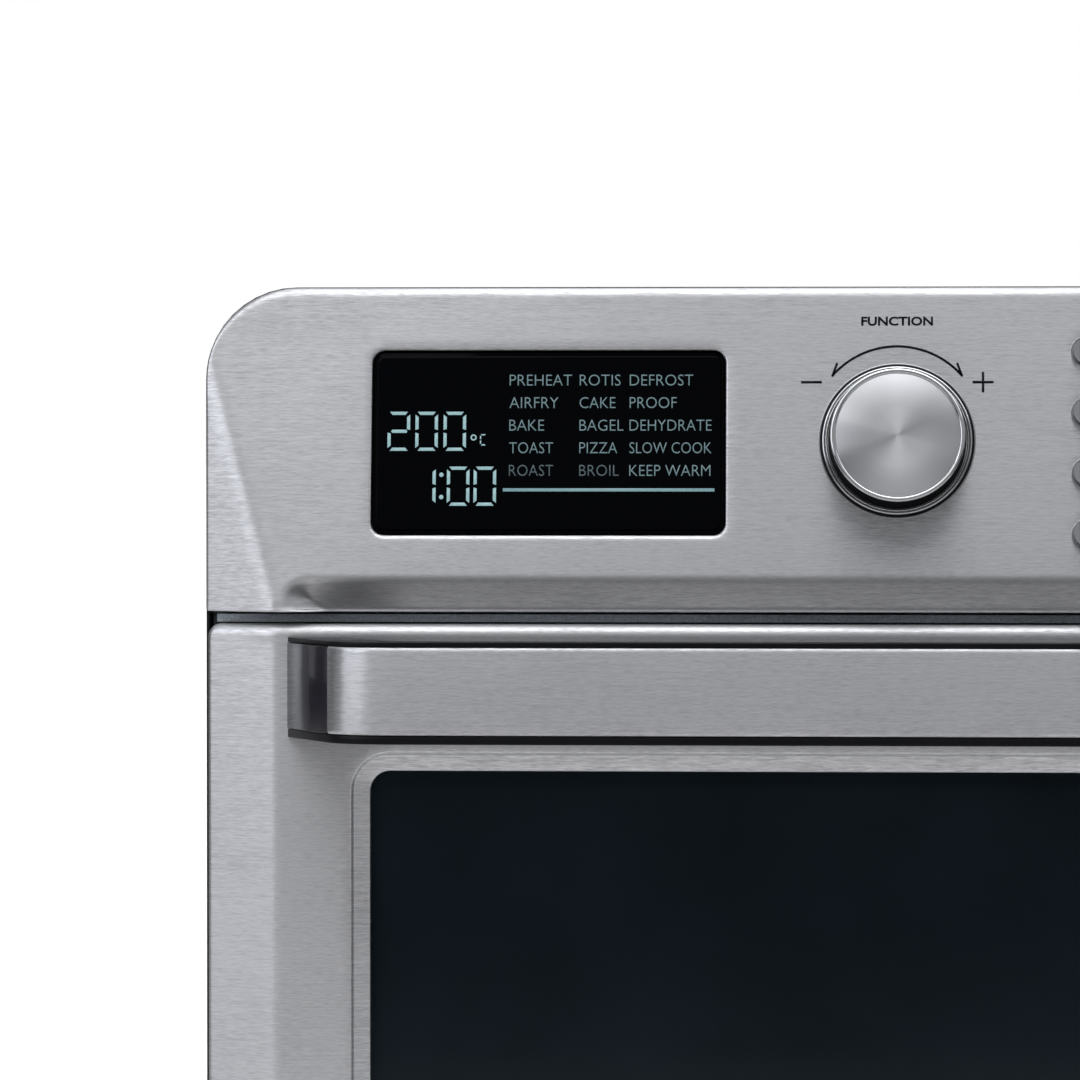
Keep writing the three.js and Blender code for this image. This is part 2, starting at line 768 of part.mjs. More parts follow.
["function", "timer"].forEach((role, i) => {
  const at = panelFrame(KNOB_X[i], KNOB_Z);
  add(
    `${role}_encoder`,
    panelPlate(slab(14, 14), at, -17.7, -9)
      .add(panelPlate(roundedRect(-4.5, 4.5, -4.5, 4.5, 4.5, 4.5, 4), at, -10, -1))
      .add(panelPlate(roundedRect(-3, 3, -3, 3, 3, 3, 4), at, -2, 7.4)),
    CHASSIS,
  );
  add(
    `${role}_ring`,
    panelTurned(
      [
        [RING_BORE_R, FIT],
        [RING_R, FIT],
        [RING_R, 1.3],
        [RING_R - 0.6, 2],
        [RING_BORE_R, 2],
        [RING_BORE_R, FIT],
      ],
      at,
      36,
    ),
    CHROME,
  );
  add(
    `${role}_knob`,
    panelTurned(
      [
        [3.4, 1],
        [KNOB_R, 1],
        [KNOB_R, 8.6],
        [KNOB_R - 0.9, 10],
        [KNOB_R - 0.9, KNOB_PROUD - 1.4],
        [KNOB_FACE_R + 0.2, KNOB_PROUD],
        [KNOB_FACE_R - 0.5, KNOB_PROUD - 0.6],
        [KNOB_FACE_R - 0.5, KNOB_PROUD - 1.4],
        [0, KNOB_PROUD - 1.4],
        [0, 8],
        [3.4, 8],
        [3.4, 1],
      ],
      at,
      36,
    ),
    CHROME,
  );
  add(
    `${role}_knob_face`,
    panelTurned(
      [
        [0, KNOB_PROUD - 1.1],
        [KNOB_FACE_R - 0.8, KNOB_PROUD - 1.1],
        [KNOB_FACE_R - 0.8, KNOB_PROUD - 0.2],
        [0, KNOB_PROUD - 0.2],
      ],
      at,
      36,
    ),
    STAINLESS,
  );
});

["start", "light", "unit", "fan_speed"].forEach((role, i) => {
  const at = panelFrame(BUTTON.x, BUTTON.top - i * BUTTON.pitch);
  add(
    `button_${role}`,
    panelPlate(pill(BUTTON.w, BUTTON.h), at, -3, BUTTON.proud)
      .add(panelPlate(pill(BUTTON.w + 3, BUTTON.h + 3), at, -4.2, -2.2))
      .add(panelPlate(slab(8, 4), at, -9.2, -4)),
    CHROME,
  );
});

// ---------------------------------------------------------------- door
// The door skin's form: a raised centre between two side facets, or with an inset its hollow.
function doorForm(inset) {
  const t = inset;
  const back = inset ? -DOOR_RETURN - 5 : -DOOR_RETURN;
  const face = plate(
    roundedRect(-DOOR_HALF_W + t, DOOR_HALF_W - t, DOOR_BOTTOM + t, DOOR_TOP - t, 2.5, 4, 4),
    FRONT_Y - 30,
    FRONT_Y - back,
  );
  const slope = DOOR_PROUD / DOOR_FACET_W;
  const facet = t * Math.hypot(1, slope);
  const wide = DOOR_HALF_W;
  const shoulder = DOOR_FACET_W + (facet - t) / slope;
  const shape = [
    [-wide, back],
    [-wide, -facet],
    [-wide + shoulder, DOOR_PROUD - t],
    [wide - shoulder, DOOR_PROUD - t],
    [wide, -facet],
    [wide, back],
  ];
  const z = DOOR_TOP - t;
  const f = DOOR_PROUD - t;
  const side = [
    [back, DOOR_BOTTOM],
    [f - 1.5, DOOR_BOTTOM],
    [f, DOOR_BOTTOM + 1.5],
    [f, z - 3],
    [f - 0.4, z - 1.5],
    [f - 1.5, z - 0.4],
    [f - 3, z],
    [back, z],
  ];
  return face.intersect(plan(shape, 0, 300)).intersect(profile(side, -wide, wide));
}

// A frustum-shaped cutter that bevels the window's edge.
function windowBevel() {
  const out = BEZEL_W;
  const rect = (grow) =>
    roundedRect(
      -GLASS_HALF_W - grow,
      GLASS_HALF_W + grow,
      GLASS_BOTTOM - grow,
      GLASS_TOP + grow,
      GLASS_R + grow,
      GLASS_R + grow,
      5,
    );
  const near = rect(out);
  const far = rect(0);
  const points = [];
  for (const [ring, f] of [
    [near, DOOR_PROUD + 0.1],
    [far, DOOR_PROUD - 4],
  ])
    for (const p of ring) points.push([p.x, FRONT_Y - f, p.y]);
  const n = near.length;
  const faces = [];
  for (let i = 0; i < n; i++) {
    const j = (i + 1) % n;
    faces.push(i, j, n + i, j, n + j, n + i);
    if (i > 0 && i < n - 1) faces.push(0, i + 1, i, n, n + i, n + i + 1);
  }
  const g = new THREE.BufferGeometry();
  g.setAttribute("position", new THREE.Float32BufferAttribute(points.flat(), 3));
  g.setIndex(faces);
  const body = solid(g);
  if (body.volume() > 0) return body;
  for (let i = 0; i < faces.length; i += 3) [faces[i], faces[i + 1]] = [faces[i + 1], faces[i]];
  g.setIndex(faces);
  return solid(g);
}

const HINGE_X = 187;
function doorPanel() {
  const opening = roundedRect(
    -GLASS_HALF_W,
    GLASS_HALF_W,
    GLASS_BOTTOM,
    GLASS_TOP,
    GLASS_R,
    GLASS_R,
    5,
  );
  const seat = roundedRect(
    -GLASS_HALF_W - 6,
    GLASS_HALF_W + 6,
    GLASS_BOTTOM - 6,
    GLASS_TOP + 6,
    GLASS_R + 6,
    GLASS_R + 6,
    5,
  );
  let body = doorForm(0).subtract(doorForm(SKIN));
  body = body.add(plate(seat, FRONT_Y - DOOR_PROUD + 0.5, FRONT_Y - DOOR_PROUD + 5.2));
  body = cut(body, windowBevel(), plate(opening, FRONT_Y - 20, FRONT_Y));
  for (const [, s] of sides) {
    const x = s * HINGE_X;
    body = body.subtract(block(x - 2.6, x + 2.6, FRONT_Y - 5.5, FRONT_Y + 12, 40, DOOR_BOTTOM + 6));
  }
  return body;
}
add("door_panel", doorPanel(), STAINLESS);

const GLASS_FRONT = DOOR_PROUD - 5.2 - FIT;
const PANE = 3.5;
const paneRect = (grow) =>
  roundedRect(
    -GLASS_HALF_W - grow,
    GLASS_HALF_W + grow,
    GLASS_BOTTOM - grow,
    GLASS_TOP + grow,
    Math.max(GLASS_R + grow, 1),
    Math.max(GLASS_R + grow, 1),
    5,
  );
add(
  "door_glass",
  plate(paneRect(5), FRONT_Y - GLASS_FRONT, FRONT_Y - GLASS_FRONT + PANE),
  DARK_GLASS,
);

function doorInner() {
  const y0 = FRONT_Y + DOOR_RETURN + FIT;
  const y1 = y0 + 1.4;
  const sheet = plate(roundedRect(-198, 198, HINGE_Z + 4, DOOR_TOP - 4, 4, 4, 3), y0, y1);
  const rim = plate(paneRect(4), FRONT_Y - GLASS_FRONT + PANE + FIT, y1);
  return join(sheet, rim).subtract(plate(paneRect(-3), FRONT_Y - 20, FRONT_Y + 20));
}
add("door_inner_frame", doorInner(), COVER_BLACK);

function doorSeal() {
  const y0 = FRONT_Y + DOOR_RETURN + FIT + 1.4 + FIT;
  const outer = roundedRect(-173, 173, HINGE_Z + 4.5, CAVITY_CEILING + 7, 9, 9, 4);
  const inner = roundedRect(-168, 168, HINGE_Z + 8.5, CAVITY_CEILING + 2, 5, 5, 4);
  return plate(outer, y0, FRONT_Y + 16.9).subtract(plate(inner, y0 - 5, FRONT_Y + 25));
}
add("door_seal", doorSeal(), SEAL_GREY);

for (const [side, s] of sides) {
  const span = (a, b) => [s * a, s * b].sort((p, q) => p - q);
  const axis = [0, FRONT_Y - HINGE_F, HINGE_Z];
  const pin = rod(3, 0, 8.3, [s * (HINGE_X - 4), axis[1], axis[2]], [s, 0, 0], 20);
  add(
    `hinge_leaf_${side}`,
    join(
      block(
        ...span(HINGE_X + 4, HINGE_X + 6),
        axis[1] - 5,
        FRONT_Y + DOOR_RETURN,
        HINGE_Z - 5,
        HINGE_Z + 30,
      ),
      pin,
    ),
    CHASSIS,
  );
  add(
    `hinge_bracket_${side}`,
    join(
      block(
        ...span(HINGE_X - 1.2, HINGE_X + 1.2),
        axis[1] - 5,
        FRONT_Y + 17.2,
        HINGE_Z - 4,
        HINGE_Z + 4,
      ),
      rod(5.4, -1.2, 1.2, [s * HINGE_X, axis[1], axis[2]], [1, 0, 0], 20),
    ).subtract(rod(3.3, -5, 5, [s * HINGE_X, axis[1], axis[2]], [1, 0, 0], 20)),
    CHASSIS,
  );
}

// ---------------------------------------------------------------- handle
// Front line of the handle in plan: a steep foot, a rounded knee and a long flat front.
function bow(depth) {
  const [kneeX, kneeF] = HANDLE_KNEE;
  const footF = DOOR_PROUD + FIT;
  const foot = [HANDLE_FOOT_X, footF];
  const run = (kneeX - HANDLE_FOOT_X) / (kneeF - footF);
  const apex = [kneeX + run * (HANDLE_FRONT - kneeF), HANDLE_FRONT];
  const line = [];
  const steps = 7;
  for (let i = 0; i <= steps; i++) {
    const t = i / steps;
    const mix = (a, b, c) => (1 - t) ** 2 * a + 2 * t * (1 - t) * b + t * t * c;
    line.push([mix(kneeX, apex[0], HANDLE_FLAT_X), mix(kneeF, apex[1], HANDLE_FRONT)]);
  }
  const all = [foot, ...line];
  if (!depth) return all;
  return all.map(([x, f], i) => {
    const a = all[Math.max(0, i - 1)];
    const b = all[Math.min(all.length - 1, i + 1)];
    const dx = b[0] - a[0];
    const df = b[1] - a[1];
    const len = Math.hypot(dx, df);
    return [x - (depth * df) / len, i ? f + (depth * dx) / len : f];
  });
}
const mirrored = (line) => [...line.map(([x, f]) => [-x, f]), ...[...line].reverse()];

const BAND_T = 1.2;
function handleCore() {
  const front = bow(BAND_T + FIT);
  const rear = [
    [163, DOOR_PROUD + FIT],
    [153.5, 29],
    [150, 34.5],
    [144, 37.6],
    [136, 38.3],
  ];
  return plan([...mirrored(front), ...mirrored(rear).reverse()], HANDLE_LOW, HANDLE_HIGH);
}
add("handle_core", handleCore(), BLACK_PLASTIC);

{
  const outer = bow(0).slice(1);
  const inner = bow(BAND_T).slice(1);
  add("handle_band", plan([...mirrored(outer), ...mirrored(inner).reverse()], BAND_LOW, BAND_HIGH), STAINLESS);
}
for (const [side, s] of sides) {
  const [foot, knee] = bow(0);
  const [footIn, kneeIn] = bow(BAND_T);
  const shorten = (a, b) => {
    const len = Math.hypot(b[0] - a[0], b[1] - a[1]);
    const k = (len - FIT) / len;
    return [a[0] + (b[0] - a[0]) * k, a[1] + (b[1] - a[1]) * k];
  };
  const ring = [foot, shorten(foot, knee), shorten(footIn, kneeIn), footIn];
  add(
    `handle_cap_${side}`,
    plan(
      ring.map(([x, f]) => [s * x, f]),
      HANDLE_LOW + 1,
      HANDLE_HIGH - 1,
    ),
    GLOSS_BLACK,
  );
}

export default oven;
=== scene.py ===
from math import atan, cos, hypot, pi, radians, sin, sqrt

import bmesh
import bpy
from mathutils import Matrix, Vector
from mathutils.geometry import delaunay_2d_cdt


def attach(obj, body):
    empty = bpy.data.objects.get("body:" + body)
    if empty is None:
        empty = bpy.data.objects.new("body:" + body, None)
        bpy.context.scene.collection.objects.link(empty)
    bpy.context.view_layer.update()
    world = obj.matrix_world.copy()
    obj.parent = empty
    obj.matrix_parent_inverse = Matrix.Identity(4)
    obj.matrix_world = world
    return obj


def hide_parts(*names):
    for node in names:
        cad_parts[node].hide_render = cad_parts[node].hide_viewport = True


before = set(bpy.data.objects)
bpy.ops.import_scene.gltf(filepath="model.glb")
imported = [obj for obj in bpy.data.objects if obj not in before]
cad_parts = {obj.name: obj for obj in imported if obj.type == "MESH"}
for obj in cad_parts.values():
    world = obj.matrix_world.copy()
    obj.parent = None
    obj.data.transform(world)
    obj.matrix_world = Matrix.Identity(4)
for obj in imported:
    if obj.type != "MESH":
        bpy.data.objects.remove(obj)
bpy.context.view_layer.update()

MM = 0.001

# ---------------- the frame's driving sizes, in millimetres
# A "box" is an outline in the front plane: half its width, its low and top edges and its corner radii.
FRONT_Y = -141.0  # datum plane of the fascia's and door's side edges
PANEL_SLOPE = 0.15  # how far the panel leans back for each millimetre up
PANEL_FLUSH_Z = 335.0  # height at which it crosses the datum plane
PANEL_TILT = atan(PANEL_SLOPE)
FASCIA = dict(half=206.2, low=258.75, top=355.25, r_low=1.0, r_top=27.2)
FASCIA_BACK = -8.0
WING_SLOPE = 0.53
DOOR = dict(half=205.6, low=47.0, top=255.0, r_low=2.5, r_top=4.0)
DOOR_BACK = -9.0
DOOR_PROUD = 9.0
DOOR_FACET_WIDTH = 21.0
WINDOW = dict(half=156.4, low=80.0, top=211.4, r_low=6.0, r_top=6.0)
DISPLAY = dict(x=-103.5, z=309.0, w=105.0, h=55.0, r=3.6)
KNOB_Z = 309.5
KNOB_X = {"function": 0.0, "timer": 128.0}
BUTTON = dict(x=64.0, w=24.0, h=8.0, top=336.0, pitch=18.0)
BUTTONS = ["start", "light", "unit", "fan_speed"]
HANDLE_LOW, HANDLE_HIGH = 221.6, 251.2
BAND_LOW, BAND_HIGH = 224.2, 249.7
HANDLE_FRONT = 49.3
HINGE_X = 187.0
REAR_FACE_Y = 177.5
SIDES = (-1, 1)


# ---------------- material tools
def node(tree, kind, inputs=None, **settings):
    """A new node. Each input, by name or number, gets a value or another node's output."""
    n = tree.nodes.new(kind)
    for key, value in settings.items():
        setattr(n, key, value)
    for key, value in (inputs or {}).items():
        if isinstance(value, bpy.types.NodeSocket):
            tree.links.new(value, n.inputs[key])
        else:
            n.inputs[key].default_value = value
    return n


def shader(tree, kind, inputs=None, **settings):
    return node(tree, "ShaderNode" + kind, inputs, **settings)


def empty_material(name):
    mat = bpy.data.materials.new(name)
    mat.use_nodes = True
    mat.node_tree.nodes.clear()
    return mat, mat.node_tree


def principled(mat, inputs):
    """Ends a material with one Principled shader."""
    bsdf = shader(mat.node_tree, "BsdfPrincipled", inputs)
    shader(mat.node_tree, "OutputMaterial", {"Surface": bsdf.outputs[0]})
    return mat


def coords(tree, scale=(1, 1, 1)):
    tex = shader(tree, "TexCoord")
    return shader(tree, "Mapping", {"Vector": tex.outputs["Object"], "Scale": scale}).outputs[0]


def noise(tree, vector, scale, detail=2.0, rough=0.5):
    inputs = {"Vector": vector, "Scale": scale, "Detail": detail, "Roughness": rough}
    return shader(tree, "TexNoise", inputs).outputs["Fac"]


def ramp(tree, fac, stops):
    n = shader(tree, "ValToRGB", {"Fac": fac})
    elements = n.color_ramp.elements
    while len(elements) < len(stops):
        elements.new(0.5)
    for element, (at, value) in zip(elements, stops):
        element.position = at
        element.color = (*value, 1) if isinstance(value, tuple) else (value, value, value, 1)
    return n.outputs["Color"]


def remap(tree, value, low, high, out_low, out_high):
    inputs = {"Value": value, "From Min": low, "From Max": high, "To Min": out_low, "To Max": out_high}
    return shader(tree, "MapRange", inputs).outputs["Result"]


def blend_values(tree, a, b, share):
    return shader(tree, "Mix", {0: share, 2: a, 3: b}, data_type="FLOAT").outputs[0]


def math_node(tree, operation, *values):
    return shader(tree, "Math", dict(enumerate(values)), operation=operation).outputs[0]


def vector_math(tree, operation, inputs):
    n = shader(tree, "VectorMath", inputs, operation=operation)
    return n.outputs["Value" if operation in ("LENGTH", "DOT_PRODUCT") else "Vector"]


def bump(tree, height, strength, distance):
    inputs = {"Height": height, "Strength": strength, "Distance": distance}
    return shader(tree, "Bump", inputs).outputs[0]


def scaled(color, share):
    return tuple(min(1.0, c * share) for c in color)


def grain_coords(tree, scale):
    """Coordinates for grain along X: the third scale runs up the piece, and rearward on its level faces."""
    tex = shader(tree, "TexCoord")
    axes = shader(tree, "SeparateXYZ", {0: tex.outputs["Normal"]})
    level = math_node(tree, "GREATER_THAN", math_node(tree, "ABSOLUTE", axes.outputs["Z"]), 0.7)
    upright, flat = coords(tree, scale), coords(tree, (scale[0], scale[2], scale[1]))
    return shader(tree, "Mix", {0: level, 4: upright, 5: flat}, data_type="VECTOR").outputs[1]


# ---------------- kinds of material; scales are per metre
FINE_GRAIN = (300.0, 300.0, 3400.0)
LONG_GRAIN = (60.0, 60.0, 1700.0)
CLOUDS = (0.7, 1, 1)
RINGS = 6500.0


def brushed(name, light, dark, rough=(0.3, 0.44), strength=0.2):
    """Stainless with short, fine scratches laid along X, longer faint streaks and soft clouding."""
    mat, tree = empty_material(name)
    fine = noise(tree, grain_coords(tree, FINE_GRAIN), 1.0, 2.0, 0.6)
    long_grain = noise(tree, grain_coords(tree, LONG_GRAIN), 1.0, 2.0, 0.5)
    streak = blend_values(tree, fine, long_grain, 0.3)
    toned = blend_values(tree, streak, noise(tree, coords(tree, CLOUDS), 24.0, 3.0, 0.5), 0.2)
    to_world = dict(vector_type="VECTOR", convert_from="OBJECT", convert_to="WORLD")
    along = shader(tree, "VectorTransform", {0: (1, 0, 0)}, **to_world)
    normal = shader(tree, "NewGeometry").outputs["Normal"]
    return principled(mat, {
        "Base Color": ramp(tree, toned, [(0.36, dark), (0.64, light)]),
        "Roughness": remap(tree, toned, 0.36, 0.64, rough[1], rough[0]),
        "Metallic": 1.0,
        "Anisotropic": 0.85,
        "Tangent": vector_math(tree, "CROSS_PRODUCT", {0: along.outputs[0], 1: normal}),
        "Normal": bump(tree, streak, strength, 0.00006),
    })


def polished(name, tone, rough=(0.03, 0.09), smudges=30.0):
    """Chrome plate with faint smudges."""
    mat, tree = empty_material(name)
    smudge = noise(tree, coords(tree), smudges, 4.0, 0.6)
    return principled(mat, {
        "Base Color": ramp(tree, smudge, [(0.3, scaled(tone, 0.93)), (0.7, tone)]),
        "Roughness": remap(tree, smudge, 0.35, 0.7, *rough),
        "Metallic": 1.0,
        "Normal": bump(tree, smudge, 0.05, 0.0002),
    })


def textured(name, tone, rough=(0.4, 0.6), grain=1800.0, strength=0.35, distance=0.00012, spread=0.28,
             metallic=0.0, coat=0.0, specular=0.5):
    """Paint, moulded plastic or rubber: fine pebble with broad tone and gloss variation."""
    mat, tree = empty_material(name)
    pebble = noise(tree, coords(tree), grain, 2.0, 0.55)
    mixed = blend_values(tree, pebble, noise(tree, coords(tree), 14.0, 3.0, 0.55), 0.5)
    return principled(mat, {
        "Base Color": ramp(tree, mixed, [(0.36, scaled(tone, 1 - spread)), (0.64, scaled(tone, 1 + spread))]),
        "Roughness": remap(tree, mixed, 0.35, 0.65, *rough),
        "Metallic": metallic,
        "Coat Weight": coat,
        "Specular IOR Level": specular,
        "Normal": bump(tree, pebble, strength, distance),
    })


def spun(name, light, dark):
    """A turned metal face: very fine rings laid round the piece's own Z axis, with conical highlights."""
    mat, tree = empty_material(name)
    radius = vector_math(tree, "LENGTH", {0: coords(tree, (1, 1, 0))})
    inputs = {"W": radius, "Scale": RINGS, "Detail": 1.0}
    ring = shader(tree, "TexNoise", inputs, noise_dimensions="1D").outputs["Fac"]
    return principled(mat, {
        "Base Color": ramp(tree, ring, [(0.3, dark), (0.7, light)]),
        "Roughness": remap(tree, ring, 0.3, 0.7, 0.3, 0.36),
        "Metallic": 1.0,
        "Anisotropic": 0.97,
        "Anisotropic Rotation": 0.25,
        "Tangent": shader(tree, "Tangent", direction_type="RADIAL", axis="Z").outputs[0],
    })


def sheet_metal(name, light, dark, rough=(0.3, 0.5), cell=90.0):
    """Galvanised or aluminised sheet with a faint crystalline pattern and stains."""
    mat, tree = empty_material(name)
    vector = coords(tree)
    cells = shader(tree, "TexVoronoi", {"Vector": vector, "Scale": cell})
    spangle = shader(tree, "RGBToBW", {0: cells.outputs["Color"]})
    mixed = blend_values(tree, spangle.outputs[0], noise(tree, vector, 11.0, 4.0, 0.6), 0.6)
    return principled(mat, {
        "Base Color": ramp(tree, mixed, [(0.25, dark), (0.75, light)]),
        "Roughness": remap(tree, mixed, 0.25, 0.75, rough[1], rough[0]),
        "Metallic": 1.0,
        "Normal": bump(tree, noise(tree, vector, 600.0, 2.0), 0.1, 0.0001),
    })


def tinted_glass(name, tone, alpha, rough=(0.02, 0.06), specular=0.5):
    """Dark or clear glass with a thin uneven film on it."""
    mat, tree = empty_material(name)
    film = noise(tree, coords(tree), 16.0, 4.0, 0.6)
    return principled(mat, {
        "Base Color": ramp(tree, film, [(0.3, scaled(tone, 0.7)), (0.7, tone)]),
        "Roughness": remap(tree, film, 0.35, 0.7, *rough),
        "Alpha": alpha,
        "Specular IOR Level": specular,
    })


def glowing(name, color, strength):
    """A lit part of the display, slightly uneven."""
    mat, tree = empty_material(name)
    flicker = noise(tree, coords(tree), 900.0, 1.0)
    return principled(mat, {
        "Base Color": (0.01, 0.012, 0.014, 1),
        "Emission Color": ramp(tree, flicker, [(0.3, scaled(color, 0.85)), (0.7, color)]),
        "Emission Strength": strength,
        "Roughness": 0.2,
    })


def circuit(name):
    """Green board with a regular pattern of raised tracks."""
    mat, tree = empty_material(name)
    vector = coords(tree)
    tracks = shader(tree, "TexBrick", {
        "Vector": vector,
        "Scale": 60.0,
        "Color1": (0.015, 0.11, 0.04, 1),
        "Color2": (0.02, 0.15, 0.06, 1),
        "Mortar": (0.05, 0.26, 0.1, 1),
        "Mortar Size": 0.04,
    })
    return principled(mat, {
        "Base Color": tracks.outputs["Color"],
        "Roughness": remap(tree, noise(tree, vector, 80.0), 0.3, 0.7, 0.3, 0.5),
        "Normal": bump(tree, tracks.outputs["Fac"], 0.3, 0.0001),
    })


def heater_sheath(name):
    """Steel tube discoloured by heat."""
    mat, tree = empty_material(name)
    scale = noise(tree, coords(tree), 160.0, 5.0, 0.65)
    tones = [(0.3, (0.05, 0.045, 0.045)), (0.55, (0.16, 0.13, 0.11)), (0.8, (0.2, 0.2, 0.21))]
    return principled(mat, {
        "Base Color": ramp(tree, scale, tones),
        "Roughness": remap(tree, scale, 0.3, 0.7, 0.4, 0.7),
        "Metallic": 0.6,
        "Normal": bump(tree, scale, 0.3, 0.0002),
    })


# ---------------- the materials
STEEL = brushed("brushed_steel", (0.79, 0.795, 0.815), (0.47, 0.475, 0.49))
STEEL_BAND = brushed(
    "band_steel", (0.77, 0.775, 0.80), (0.47, 0.475, 0.495), rough=(0.34, 0.46), strength=0.05
)
CHROME = polished("chrome_plate", (0.80, 0.815, 0.83))
SATIN_CHROME = polished("satin_chrome", (0.66, 0.67, 0.69), rough=(0.14, 0.24), smudges=60.0)
SPUN = spun("spun_face", (0.78, 0.79, 0.81), (0.70, 0.71, 0.73))
COVER = textured(
    "cover_black", (0.009, 0.0093, 0.0105), rough=(0.42, 0.58), grain=2600.0, strength=0.5, specular=0.3
)
FRAME_GREY = textured(
    "frame_grey", (0.42, 0.465, 0.5), grain=1500.0, strength=0.8, distance=0.0003, metallic=0.7, spread=0.4
)
BLACK_PLASTIC = textured(
    "black_plastic", (0.0035, 0.0037, 0.0045), rough=(0.32, 0.46), grain=3000.0, strength=0.1, specular=0.2
)
MATT_BLACK = textured(
    "matt_black", (0.0028, 0.003, 0.0036), rough=(0.6, 0.75), grain=1500.0, strength=0.05, specular=0.03
)
GLOSS_GREY = textured(
    "gloss_grey", (0.017, 0.017, 0.023), rough=(0.1, 0.2), grain=200.0, strength=0.02, coat=0.35, specular=0.4
)
DISPLAY_GLASS = tinted_glass("display_pane", (0.0004, 0.0006, 0.0016), 1.0, specular=0.07)
DOOR_GLASS = tinted_glass("door_pane", (0.010, 0.0165, 0.0225), 0.95, specular=0.4)
RUBBER = textured("rubber_black", (0.014, 0.014, 0.014), rough=(0.75, 0.92), grain=1200.0, strength=0.4)
SEAL = textured("silicone_grey", (0.03, 0.031, 0.032), rough=(0.6, 0.8), grain=900.0, strength=0.2)
CHASSIS = sheet_metal("galvanised", (0.52, 0.53, 0.55), (0.32, 0.33, 0.35))
CAVITY = sheet_metal("aluminised", (0.56, 0.56, 0.55), (0.36, 0.355, 0.35), cell=240.0)
ENAMEL = textured(
    "door_enamel", (0.02, 0.021, 0.023), rough=(0.25, 0.4), grain=900.0, strength=0.15, coat=0.3
)
HEATER = heater_sheath("heater_sheath")
CERAMIC = textured("ceramic_white", (0.62, 0.59, 0.52), rough=(0.5, 0.7), grain=700.0, strength=0.2)
LENS = tinted_glass("lamp_glass", (0.7, 0.67, 0.55), 0.55, rough=(0.15, 0.3))
BOARD = circuit("circuit_board")
INK = textured(
    "panel_ink", (0.003, 0.004, 0.008), rough=(0.5, 0.6), grain=3000.0, strength=0.05, specular=0.1
)
LED = glowing("led_segments", (0.37, 0.60, 0.63), 0.85)
LED_RULE = glowing("led_rule", (0.27, 0.47, 0.51), 0.72)
LED_WORDS = glowing("led_words", (0.22, 0.36, 0.39), 0.62)
LED_DIM = glowing("led_dim", (0.12, 0.19, 0.21), 0.5)

LOOKS = [
    (COVER, ["outer_cover", "rear_cover"]),
    (FRAME_GREY, ["front_frame"]),
    (STEEL, ["control_fascia", "door_panel", "crumb_tray"]),
    (STEEL_BAND, ["handle_band"]),
    (SPUN, [f"{role}_knob_face" for role in KNOB_X]),
    (CHROME, [f"{role}_{part}" for role in KNOB_X for part in ("ring", "knob")]),
    (CHROME, ["rotisserie_socket", "wire_rack"]),
    (SATIN_CHROME, [f"button_{name}" for name in BUTTONS]),
    (CHASSIS, [f"hinge_{part}_{side}" for part in ("leaf", "bracket") for side in ("left", "right")]),
    (CHASSIS, [f"{role}_encoder" for role in KNOB_X]),
    (CHASSIS, ["base_pan", "fan_drum", "fan_motor", "rotisserie_motor"]),
    (CAVITY, [f"cavity_{part}" for part in ("left_wall", "right_wall", "top", "floor", "back")]),
    (CAVITY, ["fan_guard", "fan_wheel"]),
    (HEATER, [f"{level}_element_{end}" for level in ("upper", "lower") for end in ("front", "rear")]),
    (RUBBER, [f"foot_{end}_{side}" for end in ("front", "rear") for side in ("left", "right")]),
    (BLACK_PLASTIC, ["rear_spacer_left", "rear_spacer_right", "cord_gland"]),
    (BLACK_PLASTIC, ["display_module", "fascia_carrier", "handle_core"]),
    (GLOSS_GREY, ["handle_cap_left", "handle_cap_right"]),
    (DISPLAY_GLASS, ["display_glass"]),
    (DOOR_GLASS, ["door_glass"]),
    (ENAMEL, ["door_inner_frame"]),
    (SEAL, ["door_seal"]),
    (LENS, ["lamp_lens"]),
    (CERAMIC, ["lamp_holder"]),
    (BOARD, ["control_board", "power_board"]),
]
CAD_LOOKS = {name: look for look, names in LOOKS for name in names}


# ---------------- shared modifiers
SHARP_ANGLE = radians(40)


def smoothing_group():
    """Smooth shading that stays sharp where faces meet at more than the sharp angle."""
    tree = bpy.data.node_groups.new("smooth_by_angle", "GeometryNodeTree")
    tree.interface.new_socket("Geometry", in_out="INPUT", socket_type="NodeSocketGeometry")
    tree.interface.new_socket("Geometry", in_out="OUTPUT", socket_type="NodeSocketGeometry")
    start = node(tree, "NodeGroupInput")
    faces = node(tree, "GeometryNodeSetShadeSmooth", {"Geometry": start.outputs[0]}, domain="FACE")
    angle = node(tree, "GeometryNodeInputMeshEdgeAngle").outputs["Unsigned Angle"]
    compare = dict(data_type="FLOAT", operation="GREATER_THAN")
    steep = node(tree, "FunctionNodeCompare", {0: angle, 1: SHARP_ANGLE}, **compare)
    inputs = {"Geometry": faces.outputs[0], "Selection": steep.outputs[0], "Shade Smooth": False}
    edges = node(tree, "GeometryNodeSetShadeSmooth", inputs, domain="EDGE")
    node(tree, "NodeGroupOutput", {0: edges.outputs[0]})
    return tree


SMOOTH = smoothing_group()


def soften(obj, width, clean=True):
    """Clean flats, rounded edges of that width in millimetres and smooth shading, all as modifiers."""
    if clean:
        flat = obj.modifiers.new("flats", "DECIMATE")
        flat.decimate_type = "DISSOLVE"
        flat.angle_limit = radians(0.6)
    if width:
        edge = obj.modifiers.new("edges", "BEVEL")
        edge.width = width * MM
        edge.segments = 2
        edge.limit_method = "ANGLE"
        edge.angle_limit = radians(30)
        edge.use_clamp_overlap = True
    shade = obj.modifiers.new("shade", "NODES")
    shade.node_group = SMOOTH


